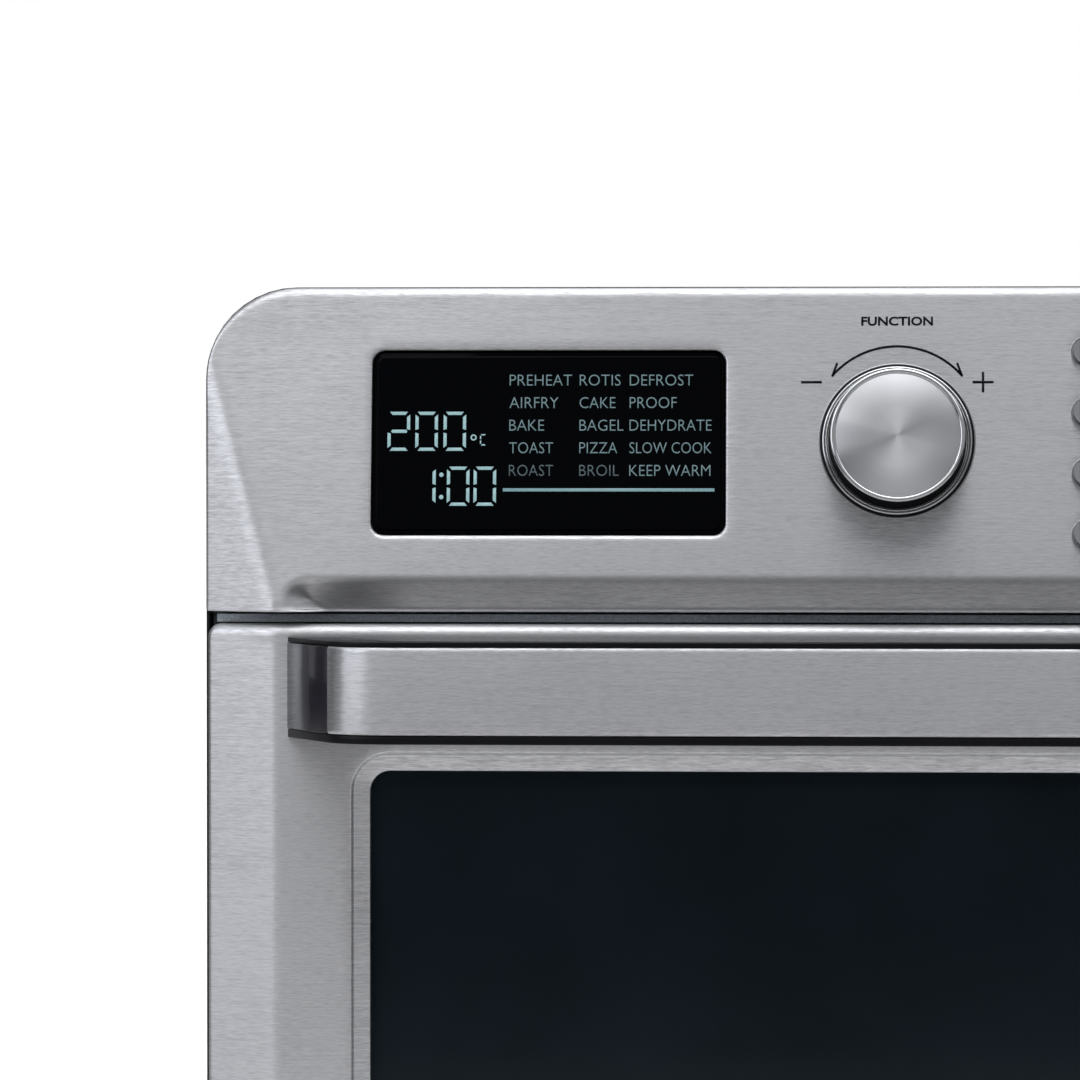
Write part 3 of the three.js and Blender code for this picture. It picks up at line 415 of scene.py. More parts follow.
def new_object(name, data, mat=None, matrix=None):
    """A new object in the scene, with its material and its place if they are given."""
    obj = bpy.data.objects.new(name, data)
    bpy.context.scene.collection.objects.link(obj)
    if mat is not None:
        data.materials.append(mat)
    if matrix is not None:
        obj.matrix_world = matrix
    return obj


def piece(name, build, mat, body, replaces=(), matrix=None, soft=None):
    """One new Blender piece from a bmesh builder, riding on a CAD body."""
    bm = bmesh.new()
    build(bm)
    bmesh.ops.recalc_face_normals(bm, faces=bm.faces)
    mesh = bpy.data.meshes.new(name)
    bm.to_mesh(mesh)
    bm.free()
    for face in mesh.polygons:
        face.use_smooth = True
    obj = new_object(name, mesh, mat, matrix)
    if soft is not None:
        soften(obj, soft, clean=False)
    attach(obj, body)
    if replaces:
        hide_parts(*replaces)


def bridge(bm, a, b):
    """Faces between two rings of vertices; a ring of one vertex is a pole."""
    count = max(len(a), len(b))
    for i in range(count):
        j = (i + 1) % count
        corners = (a[i % len(a)], b[i % len(b)], b[j % len(b)], a[j % len(a)])
        bm.faces.new(list(dict.fromkeys(corners)))


def closed_stack(bm, rings):
    """Rings of vertices joined one after another, with a face over each end."""
    for a, b in zip(rings, rings[1:]):
        bridge(bm, a, b)
    bm.faces.new(rings[0])
    bm.faces.new(rings[-1][::-1])


def vert(bm, x, y, z):
    """A new vertex at a place in millimetres."""
    return bm.verts.new((x * MM, y * MM, z * MM))


def verts_of(result):
    return [item for item in result["geom"] if isinstance(item, bmesh.types.BMVert)]


# ---------------- outline and height tools, in millimetres
LEAST_RADIUS = 0.05
FAR_BELOW = -1000.0


def rounded_outline(box, grow=0.0, step=3.0, arc=8):
    """Points round a rectangle with its own corner radii, moved outwards by grow."""
    half, low, top = box["half"] + grow, box["low"] - grow, box["top"] + grow
    cx = box.get("cx", 0.0)
    r_low, r_top = max(box["r_low"] + grow, LEAST_RADIUS), max(box["r_top"] + grow, LEAST_RADIUS)
    corners = [
        (1, low, r_low, 1, -90),
        (1, top, r_top, -1, 0),
        (-1, top, r_top, -1, 90),
        (-1, low, r_low, 1, 180),
    ]
    points = []
    for side, z, r, dz, start in corners:
        centre = (cx + side * (half - r), z + dz * r)
        n = max(arc, int(r * pi / 2 / step) + 1)
        for i in range(n + 1):
            a = radians(start + 90 * i / n)
            points.append((centre[0] + r * cos(a), centre[1] + r * sin(a)))
    full = []
    for (x0, z0), (x1, z1) in zip(points, points[1:] + points[:1]):
        n = max(1, round(hypot(x1 - x0, z1 - z0) / step))
        full += [(x0 + (x1 - x0) * i / n, z0 + (z1 - z0) * i / n) for i in range(n)]
    return full


def inset(box, x, z):
    """Distance in from the rounded rectangle's outline: negative outside it."""
    mid, half_h = (box["low"] + box["top"]) / 2, (box["top"] - box["low"]) / 2
    r = box["r_top"] if z > mid else box["r_low"]
    qx = abs(x - box.get("cx", 0.0)) - (box["half"] - r)
    qz = abs(z - mid) - (half_h - r)
    outside = hypot(max(qx, 0), max(qz, 0)) + min(max(qx, qz), 0)
    return r - outside


def smoothstep(t):
    t = min(max(t, 0.0), 1.0)
    return t * t * (3 - 2 * t)


def soft_min(a, b, k):
    """The smaller of two values, blended over a range k where they meet."""
    h = max(k - abs(a - b), 0.0) / k
    return min(a, b) - h * h * k / 4


def roll(distance, radius):
    """How far a rolled edge of that radius has dropped at a distance inside it."""
    if distance >= radius:
        return 0.0
    d = max(distance, 0.0)
    return radius - sqrt(max(radius * radius - (radius - d) ** 2, 0.0))


def edge_roll(box, x, z, top, side, foot):
    """Drop of an outline's rolled edge, whose radius goes from `side` to `top` round the upper corners."""
    r = box["r_top"]
    qx, qz = abs(x) - (box["half"] - r), z - (box["top"] - r)
    if qx > 0 and qz > 0:
        lift = qz * qz / (qx * qx + qz * qz)
    else:
        lift = 1.0 if qz > qx else 0.0
    drop = roll(inset(dict(box, low=FAR_BELOW), x, z), side + (top - side) * lift)
    return max(drop, roll(z - box["low"], foot))


def roll_offsets(radius, steps=5):
    """Distances from an edge at which a roll of that radius gets its rings of points."""
    return [radius * (1 - cos(pi / 2 * i / steps)) for i in range(steps + 1)]


def span(a, b, step):
    n = max(1, round((b - a) / step))
    return [a + (b - a) * i / n for i in range(n + 1)]


COLUMNS_END = 205.0


def columns(near, step):
    """Grid columns: 1 mm apart from `near` out to the sheet's two ends, and `step` apart between."""
    ends = [side * x for side in SIDES for x in span(near, COLUMNS_END, 1.0)]
    return sorted(ends + span(1.0 - near, near - 1.0, step))


# ---------------- pressed steel skins, in millimetres
SKIN = 0.8
HOLE_DEPTH = 2.0  # how far a hole's rim is turned in
OUTER_MARGIN, HOLE_MARGIN = 0.6, 0.5  # bands along the rings of points that the grid stays out of
ON_RIM = 0.3  # a point this close to a hole's outline is on its rim
ON_FOOT = 0.01


def cut_slots(bm, foot, front, spans):
    """Opens a skin's lower return over each span of x, from its rear edge to `front` ahead of the datum."""
    planes = [((x * MM, 0, 0), (1, 0, 0)) for ends in spans for x in ends]
    planes.append(((0, (FRONT_Y - front) * MM, 0), (0, 1, 0)))
    for at, normal in planes:
        low = [f for f in bm.faces if all(v.co.z < (foot + ON_FOOT) * MM for v in f.verts)]
        geom = {*low, *(e for f in low for e in f.edges), *(v for f in low for v in f.verts)}
        bmesh.ops.bisect_plane(bm, geom=list(geom), dist=1e-7, plane_co=at, plane_no=normal)
    opened = []
    for f in bm.faces:
        x, y, z = f.calc_center_median() / MM
        if z < foot + ON_FOOT and y > FRONT_Y - front and any(a < x < b for a, b in spans):
            opened.append(f)
    bmesh.ops.delete(bm, geom=opened, context="FACES")


def sheet_points(outer, offsets, holes, xs, zs):
    """A sheet's points in the front plane and its edge loops: rings along the outlines, a grid between."""
    points, edges = [], []
    rings = [rounded_outline(outer, -offset) for offset in offsets]
    rings += [rounded_outline(box, offset, step=2.0) for box, around in holes for offset in around]
    for ring in rings:
        first, count = len(points), len(ring)
        points.extend(ring)
        edges.extend((first + i, first + (i + 1) % count) for i in range(count))
    margin = offsets[-1] + OUTER_MARGIN
    for z in zs:
        for x in xs:
            near_hole = any(inset(b, x, z) > -(o[-1] + HOLE_MARGIN) for b, o in holes)
            if inset(outer, x, z) >= margin and not near_hole:
                points.append((x, z))
    return points, edges


def pressed_sheet(outer, outer_offsets, holes, xs, zs, height, back, slots=None):
    """A builder for a pressed skin: a triangulated face that follows height(x, z), its edge turned back to
    `back`, and each hole's rim turned in. holes are (outline box, offsets) pairs."""

    def build(bm):
        points, edges = sheet_points(outer, outer_offsets, holes, xs, zs)
        made, _, faces, _, _, _ = delaunay_2d_cdt([Vector(p) for p in points], edges, [], 0, 1e-5)
        verts = [vert(bm, v.x, FRONT_Y - height(v.x, v.y), v.y) for v in made]
        for face in faces:
            cx = sum(made[i].x for i in face) / len(face)
            cz = sum(made[i].y for i in face) / len(face)
            in_hole = any(inset(box, cx, cz) > 0 for box, _ in holes)
            if inset(outer, cx, cz) >= 0 and not in_hole:
                bm.faces.new([verts[i] for i in face])
        bmesh.ops.delete(bm, geom=[v for v in bm.verts if not v.link_faces], context="VERTS")
        rim = [e for e in bm.edges if e.is_boundary]
        for v in verts_of(bmesh.ops.extrude_edge_only(bm, edges=rim)):
            x, z = v.co.x / MM, v.co.z / MM
            near_hole = any(abs(inset(box, x, z)) < ON_RIM for box, _ in holes)
            v.co.y = v.co.y + HOLE_DEPTH * MM if near_hole else (FRONT_Y - back) * MM
        if slots:
            cut_slots(bm, outer["low"], *slots)
        bmesh.ops.recalc_face_normals(bm, faces=bm.faces)
        bmesh.ops.solidify(bm, geom=bm.faces[:], thickness=SKIN * MM)

    return build


# ---------------- control fascia
# the brow is the hollow along the fascia's foot; its box is in x divided by BROW_WIDEN
BROW = dict(half=141.4, low=200.0, top=270.0, r_low=1.0, r_top=7.5)
BROW_TURN = 2.6  # how far below its outline the brow turns from the front to its slope
BROW_WIDEN = 1.3  # how much gentler the hollow is at its two ends than along its top
BROW_FALL = 0.6  # depth lost per millimetre down the slope
LIP_Z, LIP_FLARE, LIP_FADE = 260.1, 0.36, 5  # the foot flares forward below this height, fading at its ends
WING_TURN = 2.3  # range over which the face turns into the wings at its two ends
FASCIA_ROLL = dict(top=2.4, side=0.7, foot=0.25)
FASCIA_RINGS = [0.0, 0.03, 0.12, 0.3, 0.6, 1.0, 1.6, 2.4]
DISPLAY_ROLL, BUTTON_ROLL = 1.1, 0.5
KNOB_HOLE = dict(w=16, h=16, r=7.99)
KNOB_HOLE_RINGS = [0.0, 0.4]
BUTTON_GAP = 0.8


def fascia_height(x, z):
    """How far forward of the datum the fascia's face stands, before its holes."""
    face = (PANEL_FLUSH_Z - z) * PANEL_SLOPE
    wing = (FASCIA["half"] - abs(x)) * WING_SLOPE
    inside = max(inset(BROW, x / BROW_WIDEN, z), 0.0)
    turned = inside * inside / (2 * BROW_TURN) if inside < BROW_TURN else inside - BROW_TURN / 2
    lip = max(LIP_Z - z, 0.0)
    flare = LIP_FLARE * lip * lip * smoothstep(inside / LIP_FADE)
    shape = soft_min(face, wing, WING_TURN) - turned * BROW_FALL + flare
    return shape - edge_roll(FASCIA, x, z, **FASCIA_ROLL)


def round_box(x, z, w, h, r):
    return dict(cx=x, half=w / 2, low=z - h / 2, top=z + h / 2, r_low=r, r_top=r)


def button_z(i):
    return BUTTON["top"] - i * BUTTON["pitch"]


def button_hole(i):
    w, h, r = BUTTON["w"] + BUTTON_GAP, BUTTON["h"] + BUTTON_GAP, BUTTON["h"] / 2 + 0.39
    return round_box(BUTTON["x"], button_z(i), w, h, r), roll_offsets(BUTTON_ROLL, 3)


display_hole = (round_box(**DISPLAY), roll_offsets(DISPLAY_ROLL, 4))
knob_holes = [(round_box(x, KNOB_Z, **KNOB_HOLE), KNOB_HOLE_RINGS) for x in KNOB_X.values()]
button_holes = [button_hole(i) for i in range(len(BUTTONS))]


def fascia_surface(x, z):
    """The fascia's face with the rolled rims of its display and button holes."""
    f = fascia_height(x, z)
    for box, offsets in (display_hole, *button_holes):
        f -= roll(-inset(box, x, z), offsets[-1])
    return f


fascia_rows = sorted(span(259, 274, 0.5) + span(275, 352, 2.3))
fascia_skin = pressed_sheet(
    FASCIA, FASCIA_RINGS, [display_hole, *knob_holes, *button_holes],
    columns(170.6, 2.6), fascia_rows, fascia_surface, FASCIA_BACK,
)
piece("control_fascia_skin", fascia_skin, STEEL, "housing", ["control_fascia"])


# ---------------- door skin
DOOR_ROLL = dict(top=3.0, side=1.0, foot=1.2)
DOOR_RINGS = [0.0, 0.04, 0.16, 0.4, 0.8, 1.4, 2.2, 3.2]
FACET_TURN = 1.4  # range over which the door's face turns into the facets at its two ends
BEAD = dict(height=0.4, foot=249.0, rise=3.2, end=4, fade=22)  # the raised edge along the door's top
# round the window the sheet steps down, then slopes in, then rolls over at the rim
STEP_OUT, STEP_RUN, STEP_DROP = 6.0, 1.6, 1.4
SLOPE_OUT, SLOPE_RUN, SLOPE_DROP = 4.4, 4.0, 1.3
WINDOW_ROLL = 0.5
WINDOW_RINGS = [0.0, 0.07, 0.25, 0.5, 1.6, 3.0, 4.2, 4.5, 4.75, 5.0, 5.25, 5.5, 5.75, 6.05]
HINGE_SLOT = dict(half=2.6, front=5.5)


def door_height(x, z):
    """How far forward of the datum the door's face stands."""
    from_end = DOOR["half"] - abs(x)
    f = soft_min(DOOR_PROUD, from_end * DOOR_PROUD / DOOR_FACET_WIDTH, FACET_TURN)
    raised = smoothstep((z - BEAD["foot"]) / BEAD["rise"])
    f += BEAD["height"] * raised * smoothstep((DOOR["half"] - BEAD["end"] - abs(x)) / BEAD["fade"])
    f -= edge_roll(DOOR, x, z, **DOOR_ROLL)
    out = -inset(WINDOW, x, z)
    if out < STEP_OUT:
        f -= STEP_DROP * smoothstep((STEP_OUT - out) / STEP_RUN)
        f -= SLOPE_DROP * min(max((SLOPE_OUT - out) / SLOPE_RUN, 0.0), 1.0)
        f -= roll(out, WINDOW_ROLL)
    return f


door_rows = sorted(span(48, 246, 3.0) + span(247, 252.5, 0.5))
hinge_spans = [(side * HINGE_X - HINGE_SLOT["half"], side * HINGE_X + HINGE_SLOT["half"]) for side in SIDES]
door_skin = pressed_sheet(
    DOOR, DOOR_RINGS, [(WINDOW, WINDOW_RINGS)],
    columns(178, 3.0), door_rows, door_height, DOOR_BACK, slots=(HINGE_SLOT["front"], hinge_spans),
)
piece("door_skin", door_skin, STEEL, "door", ["door_panel"])


# ---------------- pieces turned about an axis on the panel
def panel_matrix(x, z, lift=0.0):
    """A place on the leaning panel: its local Y runs up the panel, and its Z comes straight out of it."""
    up = Vector((0, sin(PANEL_TILT), cos(PANEL_TILT)))
    out = Vector((0, -cos(PANEL_TILT), sin(PANEL_TILT)))
    at = Vector((x, FRONT_Y - (PANEL_FLUSH_Z - z) * PANEL_SLOPE, z)) * MM + out * lift * MM
    m = Matrix((Vector((1, 0, 0)), up, out)).transposed().to_4x4()
    m.translation = at
    return m


def lathe(profile, steps=96):
    """A builder for a body of revolution about Z from (radius, height) pairs in millimetres."""

    def build(bm):
        rings = []
        for r, h in profile:
            turns = [2 * pi * i / steps for i in range(steps if r else 1)]
            rings.append([vert(bm, r * cos(a), r * sin(a), h) for a in turns])
        if len(rings[0]) > 1:
            rings.append(rings[0])
        for a, b in zip(rings, rings[1:]):
            bridge(bm, a, b)

    return build


def arc_points(cx, cz, r, start, end, steps):
    return [
        (cx + r * cos(radians(a)), cz + r * sin(radians(a)))
        for a in (start + (end - start) * i / steps for i in range(steps + 1))
    ]


# the dial's sections, as (radius, height above the panel) pairs
# painted shadow: this black ring round the bezel's foot stands in for the shadow the ring casts on the panel
BASE_SHADOW_RING = [(22.2, 0.3), (22.85, 0.3), (22.9, 0.5), (22.85, 0.9), (22.6, 1.0), (22.2, 0.95)]
SEAT_RIM = [(22.95, 0.03), (23.3, 0.03), (23.27, 0.12), (23.15, 0.17), (22.95, 0.14)]
BEZEL_RING = [
    (20.75, 0.3), (22.1, 0.3), (22.18, 1.1), *arc_points(21.75, 1.5, 0.43, 0, 170, 9),
    (21.27, 1.2), *arc_points(21.0, 1.7, 0.25, 10, 170, 6),
]
KNOB_WALL = [(3.4, 1.0), (20.25, 1.0), (20.4, 1.2), (20.38, 3.4), (19.92, 11.2), (19.7, 11.3), (3.4, 11.3)]
KNOB_RIM = [
    (17.6, 11.4), (19.6, 11.4), (19.8, 11.55), (19.84, 12.2), *arc_points(19.2, 12.35, 0.64, 5, 80, 7),
    (18.85, 13.0), (18.62, 12.86), (18.42, 12.6), (17.6, 12.55),
]
KNOB_FACE = [(0, 12.1), (18.2, 12.1), (18.28, 12.3), (18.2, 12.62), (18.0, 12.72), (9.0, 12.8), (0, 12.84)]


def knob_set(role, x):
    """A black ring painted as the shadow round the bezel's base, the bezel ring on the panel, and a dial of
    dark side wall, bright rim and spun face.
    """
    dial = f"{role}_dial"
    parts = [
        # painted shadow: the first part is a black ring at the bezel's base, in place of its shadow on the
        # panel
        ("base_shadow_ring", lathe(BASE_SHADOW_RING), BLACK_PLASTIC, "housing", "black_plastic", []),
        ("seat_rim", lathe(SEAT_RIM), SATIN_CHROME, "housing", "chrome", []),
        ("bezel_ring", lathe(BEZEL_RING), CHROME, "housing", "chrome", [f"{role}_ring"]),
        # the dial's side wall is a matt black with almost no reflection
        ("knob_wall", lathe(KNOB_WALL), MATT_BLACK, dial, "gloss_black", []),
        ("knob_body", lathe(KNOB_RIM), CHROME, dial, "chrome", [f"{role}_knob"]),
        ("spun_face", lathe(KNOB_FACE, 128), SPUN, dial, "stainless", [f"{role}_knob_face"]),
    ]
    for part, build, mat, body, slot, replaced in parts:
        piece(f"{role}_{part}", build, mat, body, replaced, panel_matrix(x, KNOB_Z), 0.0)


for role, knob_x in KNOB_X.items():
    knob_set(role, knob_x)


# ---------------- display; places are from the pane's centre
SEGMENTS = {"0": "abcdef", "1": "bc", "2": "abged", "C": "adef"}
DIGIT = dict(w=6.72, h=11.75, bar=0.95)
TEMPERATURE_X, TEMPERATURE_Y = (-48.0, -39.7, -31.3), -2.3
TIME_X, TIME_Y = (-40.2, -30.15, -22.2), -18.8
UNIT_LETTER = dict(x=-20.4, y=-0.7, w=1.97, h=3.4, bar=0.39)
DEGREE_RING = dict(x=-22.3, y=1.7, r=0.93, hole=0.52)
COLON_X, COLON_Y, COLON_R = -31.8, (-9.5, -16.2), 0.66
RULE_LEFT, RULE_RIGHT, RULE_LOW, RULE_HIGH = -13.45, 49.4, -14.5, -13.55
LED_DEPTH = 0.04
PANE_FRONT = -0.7
PANE_GAP, PANE_CORNER = 0.35, 3.2
# the pane's section from its back to its front: how far its outline is moved out, and its height
PANE_LEVELS = [(0, -3.4), (0, -1.25), (-0.9, -1.2), (-1.05, -0.78), (-1.3, PANE_FRONT), (-1.6, PANE_FRONT)]


def polygon(bm, points):
    bm.faces.new([vert(bm, x, y, 0) for x, y in points])


def rectangle(bm, left, low, right, high):
    polygon(bm, [(left, low), (right, low), (right, high), (left, high)])


def thicken(bm, depth):
    """Turns flat faces into thin solids of that depth, in millimetres."""
    for v in verts_of(bmesh.ops.extrude_face_region(bm, geom=bm.faces[:])):
        v.co.z += depth * MM


def digit(bm, char, x, y, w, h, bar):
    """Seven-segment character with mitred bars: lower left corner, size and bar thickness."""
    on = SEGMENTS[char]
    mid, t = y + h / 2, bar
    far, near, drop, split = t * 0.72, t * 1.5, t * 0.9, t * 0.42
    for key, edge, up in (("a", y + h, -1), ("d", y, 1)):
        if key in on:
            inner = edge + up * t
            polygon(bm, [(x + far, edge), (x + w - far, edge), (x + w - near, inner), (x + near, inner)])
    if "g" in on:
        a, b = x + near, x + w - t * 1.1
        low, high = mid - t / 2, mid + t / 2
        polygon(bm, [(a - t * 0.4, mid), (a, high), (b, high), (b + t * 0.2, mid), (b, low), (a, low)])
    for keys, xc, side in (("fe", x, 1), ("bc", x + w, -1)):
        for key, end, up in ((keys[0], y + h, -1), (keys[1], y, 1)):
            if key in on:
                polygon(bm, [
                    (xc, end + up * drop), (xc + side * t, end + up * (drop + t * 0.8)),
                    (xc + side * t, mid - up * split * 1.7), (xc, mid - up * split),
                ])


def disc(bm, x, y, r, hole=0.0, n=20):
    """A flat disc of n sides, or a ring when it has a hole."""
    outer = [(x + r * cos(2 * pi * i / n), y + r * sin(2 * pi * i / n)) for i in range(n)]
    if not hole:
        polygon(bm, outer)
        return
    k = hole / r
    for i in range(n):
        j = (i + 1) % n
        inner = [(x + (p[0] - x) * k, y + (p[1] - y) * k) for p in (outer[j], outer[i])]
        polygon(bm, [outer[i], outer[j], *inner])


def led_digits(bm):
    """The lit figures: 200 with its degree ring and C, and 1:00 below."""
    for chars, xs, y in (("200", TEMPERATURE_X, TEMPERATURE_Y), ("100", TIME_X, TIME_Y)):
        for char, x in zip(chars, xs):
            digit(bm, char, x, y, **DIGIT)
    digit(bm, "C", **UNIT_LETTER)
    disc(bm, **DEGREE_RING)
    for y in COLON_Y:
        disc(bm, COLON_X, y, COLON_R)
    thicken(bm, LED_DEPTH)


def led_rule(bm):
    """The lit line under the list of modes."""
    rectangle(bm, RULE_LEFT, RULE_LOW, RULE_RIGHT, RULE_HIGH)
    thicken(bm, LED_DEPTH)


def pane(bm):
    """The display's dark pane, with a chamfered front edge."""
    w, h = DISPLAY["w"] / 2 - PANE_GAP, DISPLAY["h"] / 2 - PANE_GAP
    box = dict(half=w, low=-h, top=h, r_low=PANE_CORNER, r_top=PANE_CORNER)
    rings = []
    for grow, lift in PANE_LEVELS:
        outline = rounded_outline(box, grow, step=400.0)
        rings.append([vert(bm, x, y, lift) for x, y in outline])
    closed_stack(bm, rings)


pane_at = panel_matrix(DISPLAY["x"], DISPLAY["z"])
lit_at = panel_matrix(DISPLAY["x"], DISPLAY["z"], PANE_FRONT + 0.01)
piece("display_pane", pane, DISPLAY_GLASS, "housing", ["display_glass"], pane_at, 0.0)
piece("display_digits", led_digits, LED, "housing", matrix=lit_at)
piece("display_rule", led_rule, LED_RULE, "housing", matrix=lit_at)


# ---------------- lettering
CAP_SHARE = 0.729  # a capital's height as a share of the font's size


def lettering(name, text, x, y, cap, width, mat, base, slot="black_plastic", align="LEFT", weight=0.0):
    """Flat letters of a cap height, squeezed or stretched to a width, laid on a panel matrix."""
    curve = bpy.data.curves.new(name, "FONT")
    curve.body = text
    curve.size = cap * MM / CAP_SHARE
    curve.align_x = align
    curve.offset = weight * MM
    curve.resolution_u = 3
    outline = new_object(name + "_curve", curve)
    bpy.context.view_layer.update()
    mesh = bpy.data.meshes.new_from_object(outline)
    bpy.data.objects.remove(outline)
    xs = [v.co.x for v in mesh.vertices]
    squeeze = width * MM / (max(xs) - min(xs)) if width else 1.0
    start = min(xs) if align == "LEFT" else 0
    bm = bmesh.new()
    bm.from_mesh(mesh)
    for v in bm.verts:
        v.co.x = (v.co.x - start) * squeeze + x * MM
        v.co.y += y * MM
    bmesh.ops.remove_doubles(bm, verts=bm.verts, dist=1e-6)
    thicken(bm, LED_DEPTH)
    bmesh.ops.recalc_face_normals(bm, faces=bm.faces)
    bm.to_mesh(mesh)
    bm.free()
    mesh.name = name
    mesh.materials.clear()
    letters = new_object(name, mesh, mat, base)
    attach(letters, "housing")


# each column's left edge, and its words with their widths
WORDS = [
    (-11.7, [("PREHEAT", 18.6), ("AIRFRY", 14.6), ("BAKE", 10.4), ("TOAST", 13.1), ("ROAST", 13.2)]),
    (9.2, [("ROTIS", 12.2), ("CAKE", 10.7), ("BAGEL", 13.1), ("PIZZA", 11.3), ("BROIL", 11.8)]),
    (24.1, [
        ("DEFROST", 18.9), ("PROOF", 14.0), ("DEHYDRATE", 24.4), ("SLOW COOK", 24.4), ("KEEP WARM", 24.1),
    ]),
]
FIRST_LINE, LINE_PITCH, WORD_CAP = 17.3, 6.79, 3.58
DIM_WORDS = ("ROAST", "BROIL")
for left, words in WORDS:
    for row, (word, width) in enumerate(words):
        name = f"mode_{word.lower().replace(' ', '_')}"
        look = LED_DIM if word in DIM_WORDS else LED_WORDS
        y = FIRST_LINE - LINE_PITCH * row
        lettering(name, word, left, y, WORD_CAP, width, look, lit_at, slot="dark_glass", weight=-0.05)


# ---------------- printed marks on the panel
ARC = dict(rise=3.15, radius=25.3, end=40.9, width=0.7, steps=40)  # rise of its centre above the dial's
BARB_LENGTH, BARB_ANGLE = 4.0, radians(70)
SIGN = dict(x=25.4, y=17.7, length=6.2, width=0.74)
INK_LIFT = INK_DEPTH = 0.03
DIAL_LABELS = {"function": ("FUNCTION", 21.3), "timer": ("TEMP / TIME", 27.0)}
DIAL_LABEL = dict(y=34.8, cap=2.65, weight=0.11)
BUTTON_WORDS = ["START", "LIGHT", "F / C", "FAN"]
BUTTON_LABEL = dict(y=-8.4, cap=2.3, weight=0.05)


def print_bar(bm, x, y, w, h):
    rectangle(bm, x - w / 2, y - h / 2, x + w / 2, y + h / 2)


def turn_marks(bm):
    """Arc over the dial with a barbed arrow at each end, a minus on the left and a plus on the right."""
    steps, half, end = ARC["steps"], ARC["width"] / 2, radians(ARC["end"])
    for i in range(steps):
        a0, a1 = (radians(ARC["end"] + (180 - 2 * ARC["end"]) * k / steps) for k in (i, i + 1))
        corners = [(a, ARC["radius"] + s * half) for a, s in ((a0, 1), (a1, 1), (a1, -1), (a0, -1))]
        polygon(bm, [(r * cos(a), ARC["rise"] + r * sin(a)) for a, r in corners])
    for side in SIDES:
        tip = Vector((side * ARC["radius"] * cos(end), ARC["rise"] + ARC["radius"] * sin(end)))
        barb = tip + Vector((-side * cos(BARB_ANGLE), sin(BARB_ANGLE))) * BARB_LENGTH
        across = (barb - tip).normalized().orthogonal() * half
        polygon(bm, [tuple(p) for p in (tip - across, barb - across, barb + across, tip + across)])
        disc(bm, tip.x, tip.y, half * 1.15, n=12)
    x, y, length, width = (SIGN[key] for key in ("x", "y", "length", "width"))
    print_bar(bm, -x, y, length, width)
    print_bar(bm, x, y, length, width)
    for side in SIDES:
        print_bar(bm, x, y + side * (length + width) / 4, width, (length - width) / 2)
    thicken(bm, INK_DEPTH)


for role, (label, width) in DIAL_LABELS.items():
    at = panel_matrix(KNOB_X[role], KNOB_Z, INK_LIFT)
    piece(f"{role}_turn_marks", turn_marks, INK, "housing", matrix=at)
    lettering(f"{role}_label", label, x=0, width=width, mat=INK, base=at, align="CENTER", **DIAL_LABEL)
for i, word in enumerate(BUTTON_WORDS):
    at = panel_matrix(BUTTON["x"], button_z(i), INK_LIFT)
    lettering(f"{BUTTONS[i]}_label", word, x=0, width=None, mat=INK, base=at, align="CENTER", **BUTTON_LABEL)


# ---------------- handle; plans are (x, forward) pairs
BOW_FOOT, BOW_KNEE, BOW_FLAT = (181.0, DOOR_PROUD + 0.3), (166.4, 39.0), (144.4, HANDLE_FRONT)
BOW_STEPS = 18
BAND_SHEET = 1.2
# the band's upper and lower edges are rolled: distance from the edge and how far the face falls back there
BAND_ROLL = [(0.0, 0.5), (0.35, 0.22), (0.9, 0.05), (1.4, 0.0)]
CORE_REAR = [
    (163, BOW_FOOT[1]), (156.5, 22), (153.5, 29), (150, 34.5), (147.2, 36.6), (144, 37.8), (138, 38.3),
]
FLANGE_BACK, WAIST_BACK = 0.3, 1.5  # how far the core stands back at its two flanges, and behind the band
BAND_SEAT = 0.3  # gap between the band's edges and the flanges
CAP_RIDGE = (-9.8, 22.5)  # from the foot to the ridge that breaks the cap's face
CAP_CLEAR = 0.3


def bow(depth):
    """The handle's front line in plan from the foot to the flat, moved in by depth."""
    run = (BOW_KNEE[0] - BOW_FOOT[0]) / (BOW_KNEE[1] - BOW_FOOT[1])
    apex = (BOW_KNEE[0] + run * (HANDLE_FRONT - BOW_KNEE[1]), HANDLE_FRONT)
    every = [BOW_FOOT]
    for i in range(BOW_STEPS + 1):
        t = i / BOW_STEPS
        curve = Vector(BOW_KNEE) * (1 - t) ** 2 + Vector(apex) * 2 * t * (1 - t) + Vector(BOW_FLAT) * t * t
        every.append(tuple(curve))
    if not depth:
        return every
    moved = []
    for i, (x, f) in enumerate(every):
        a, b = every[max(0, i - 1)], every[min(len(every) - 1, i + 1)]
        dx, df = b[0] - a[0], b[1] - a[1]
        length = hypot(dx, df)
        moved.append((x - depth * df / length, f + depth * dx / length if i else f))
    return moved


def stack(rings):
    """A builder for plan outlines, joined from the lowest to the highest."""

    def build(bm):
        levels = []
        for plan, z in rings:
            levels.append([vert(bm, x, FRONT_Y - f, z) for x, f in plan])
        closed_stack(bm, levels)

    return build


def bar_plan(front, rear):
    """Closed outline of a bar across the door, from its front and rear lines on the right-hand half."""
    both = [[(-x, f) for x, f in line] + list(reversed(line)) for line in (front, rear)]
    return both[0] + list(reversed(both[1]))


def band_plan(depth):
    """Outline of the steel band with its front face set back by the given depth."""
    return bar_plan(bow(depth)[1:], bow(BAND_SHEET)[1:])


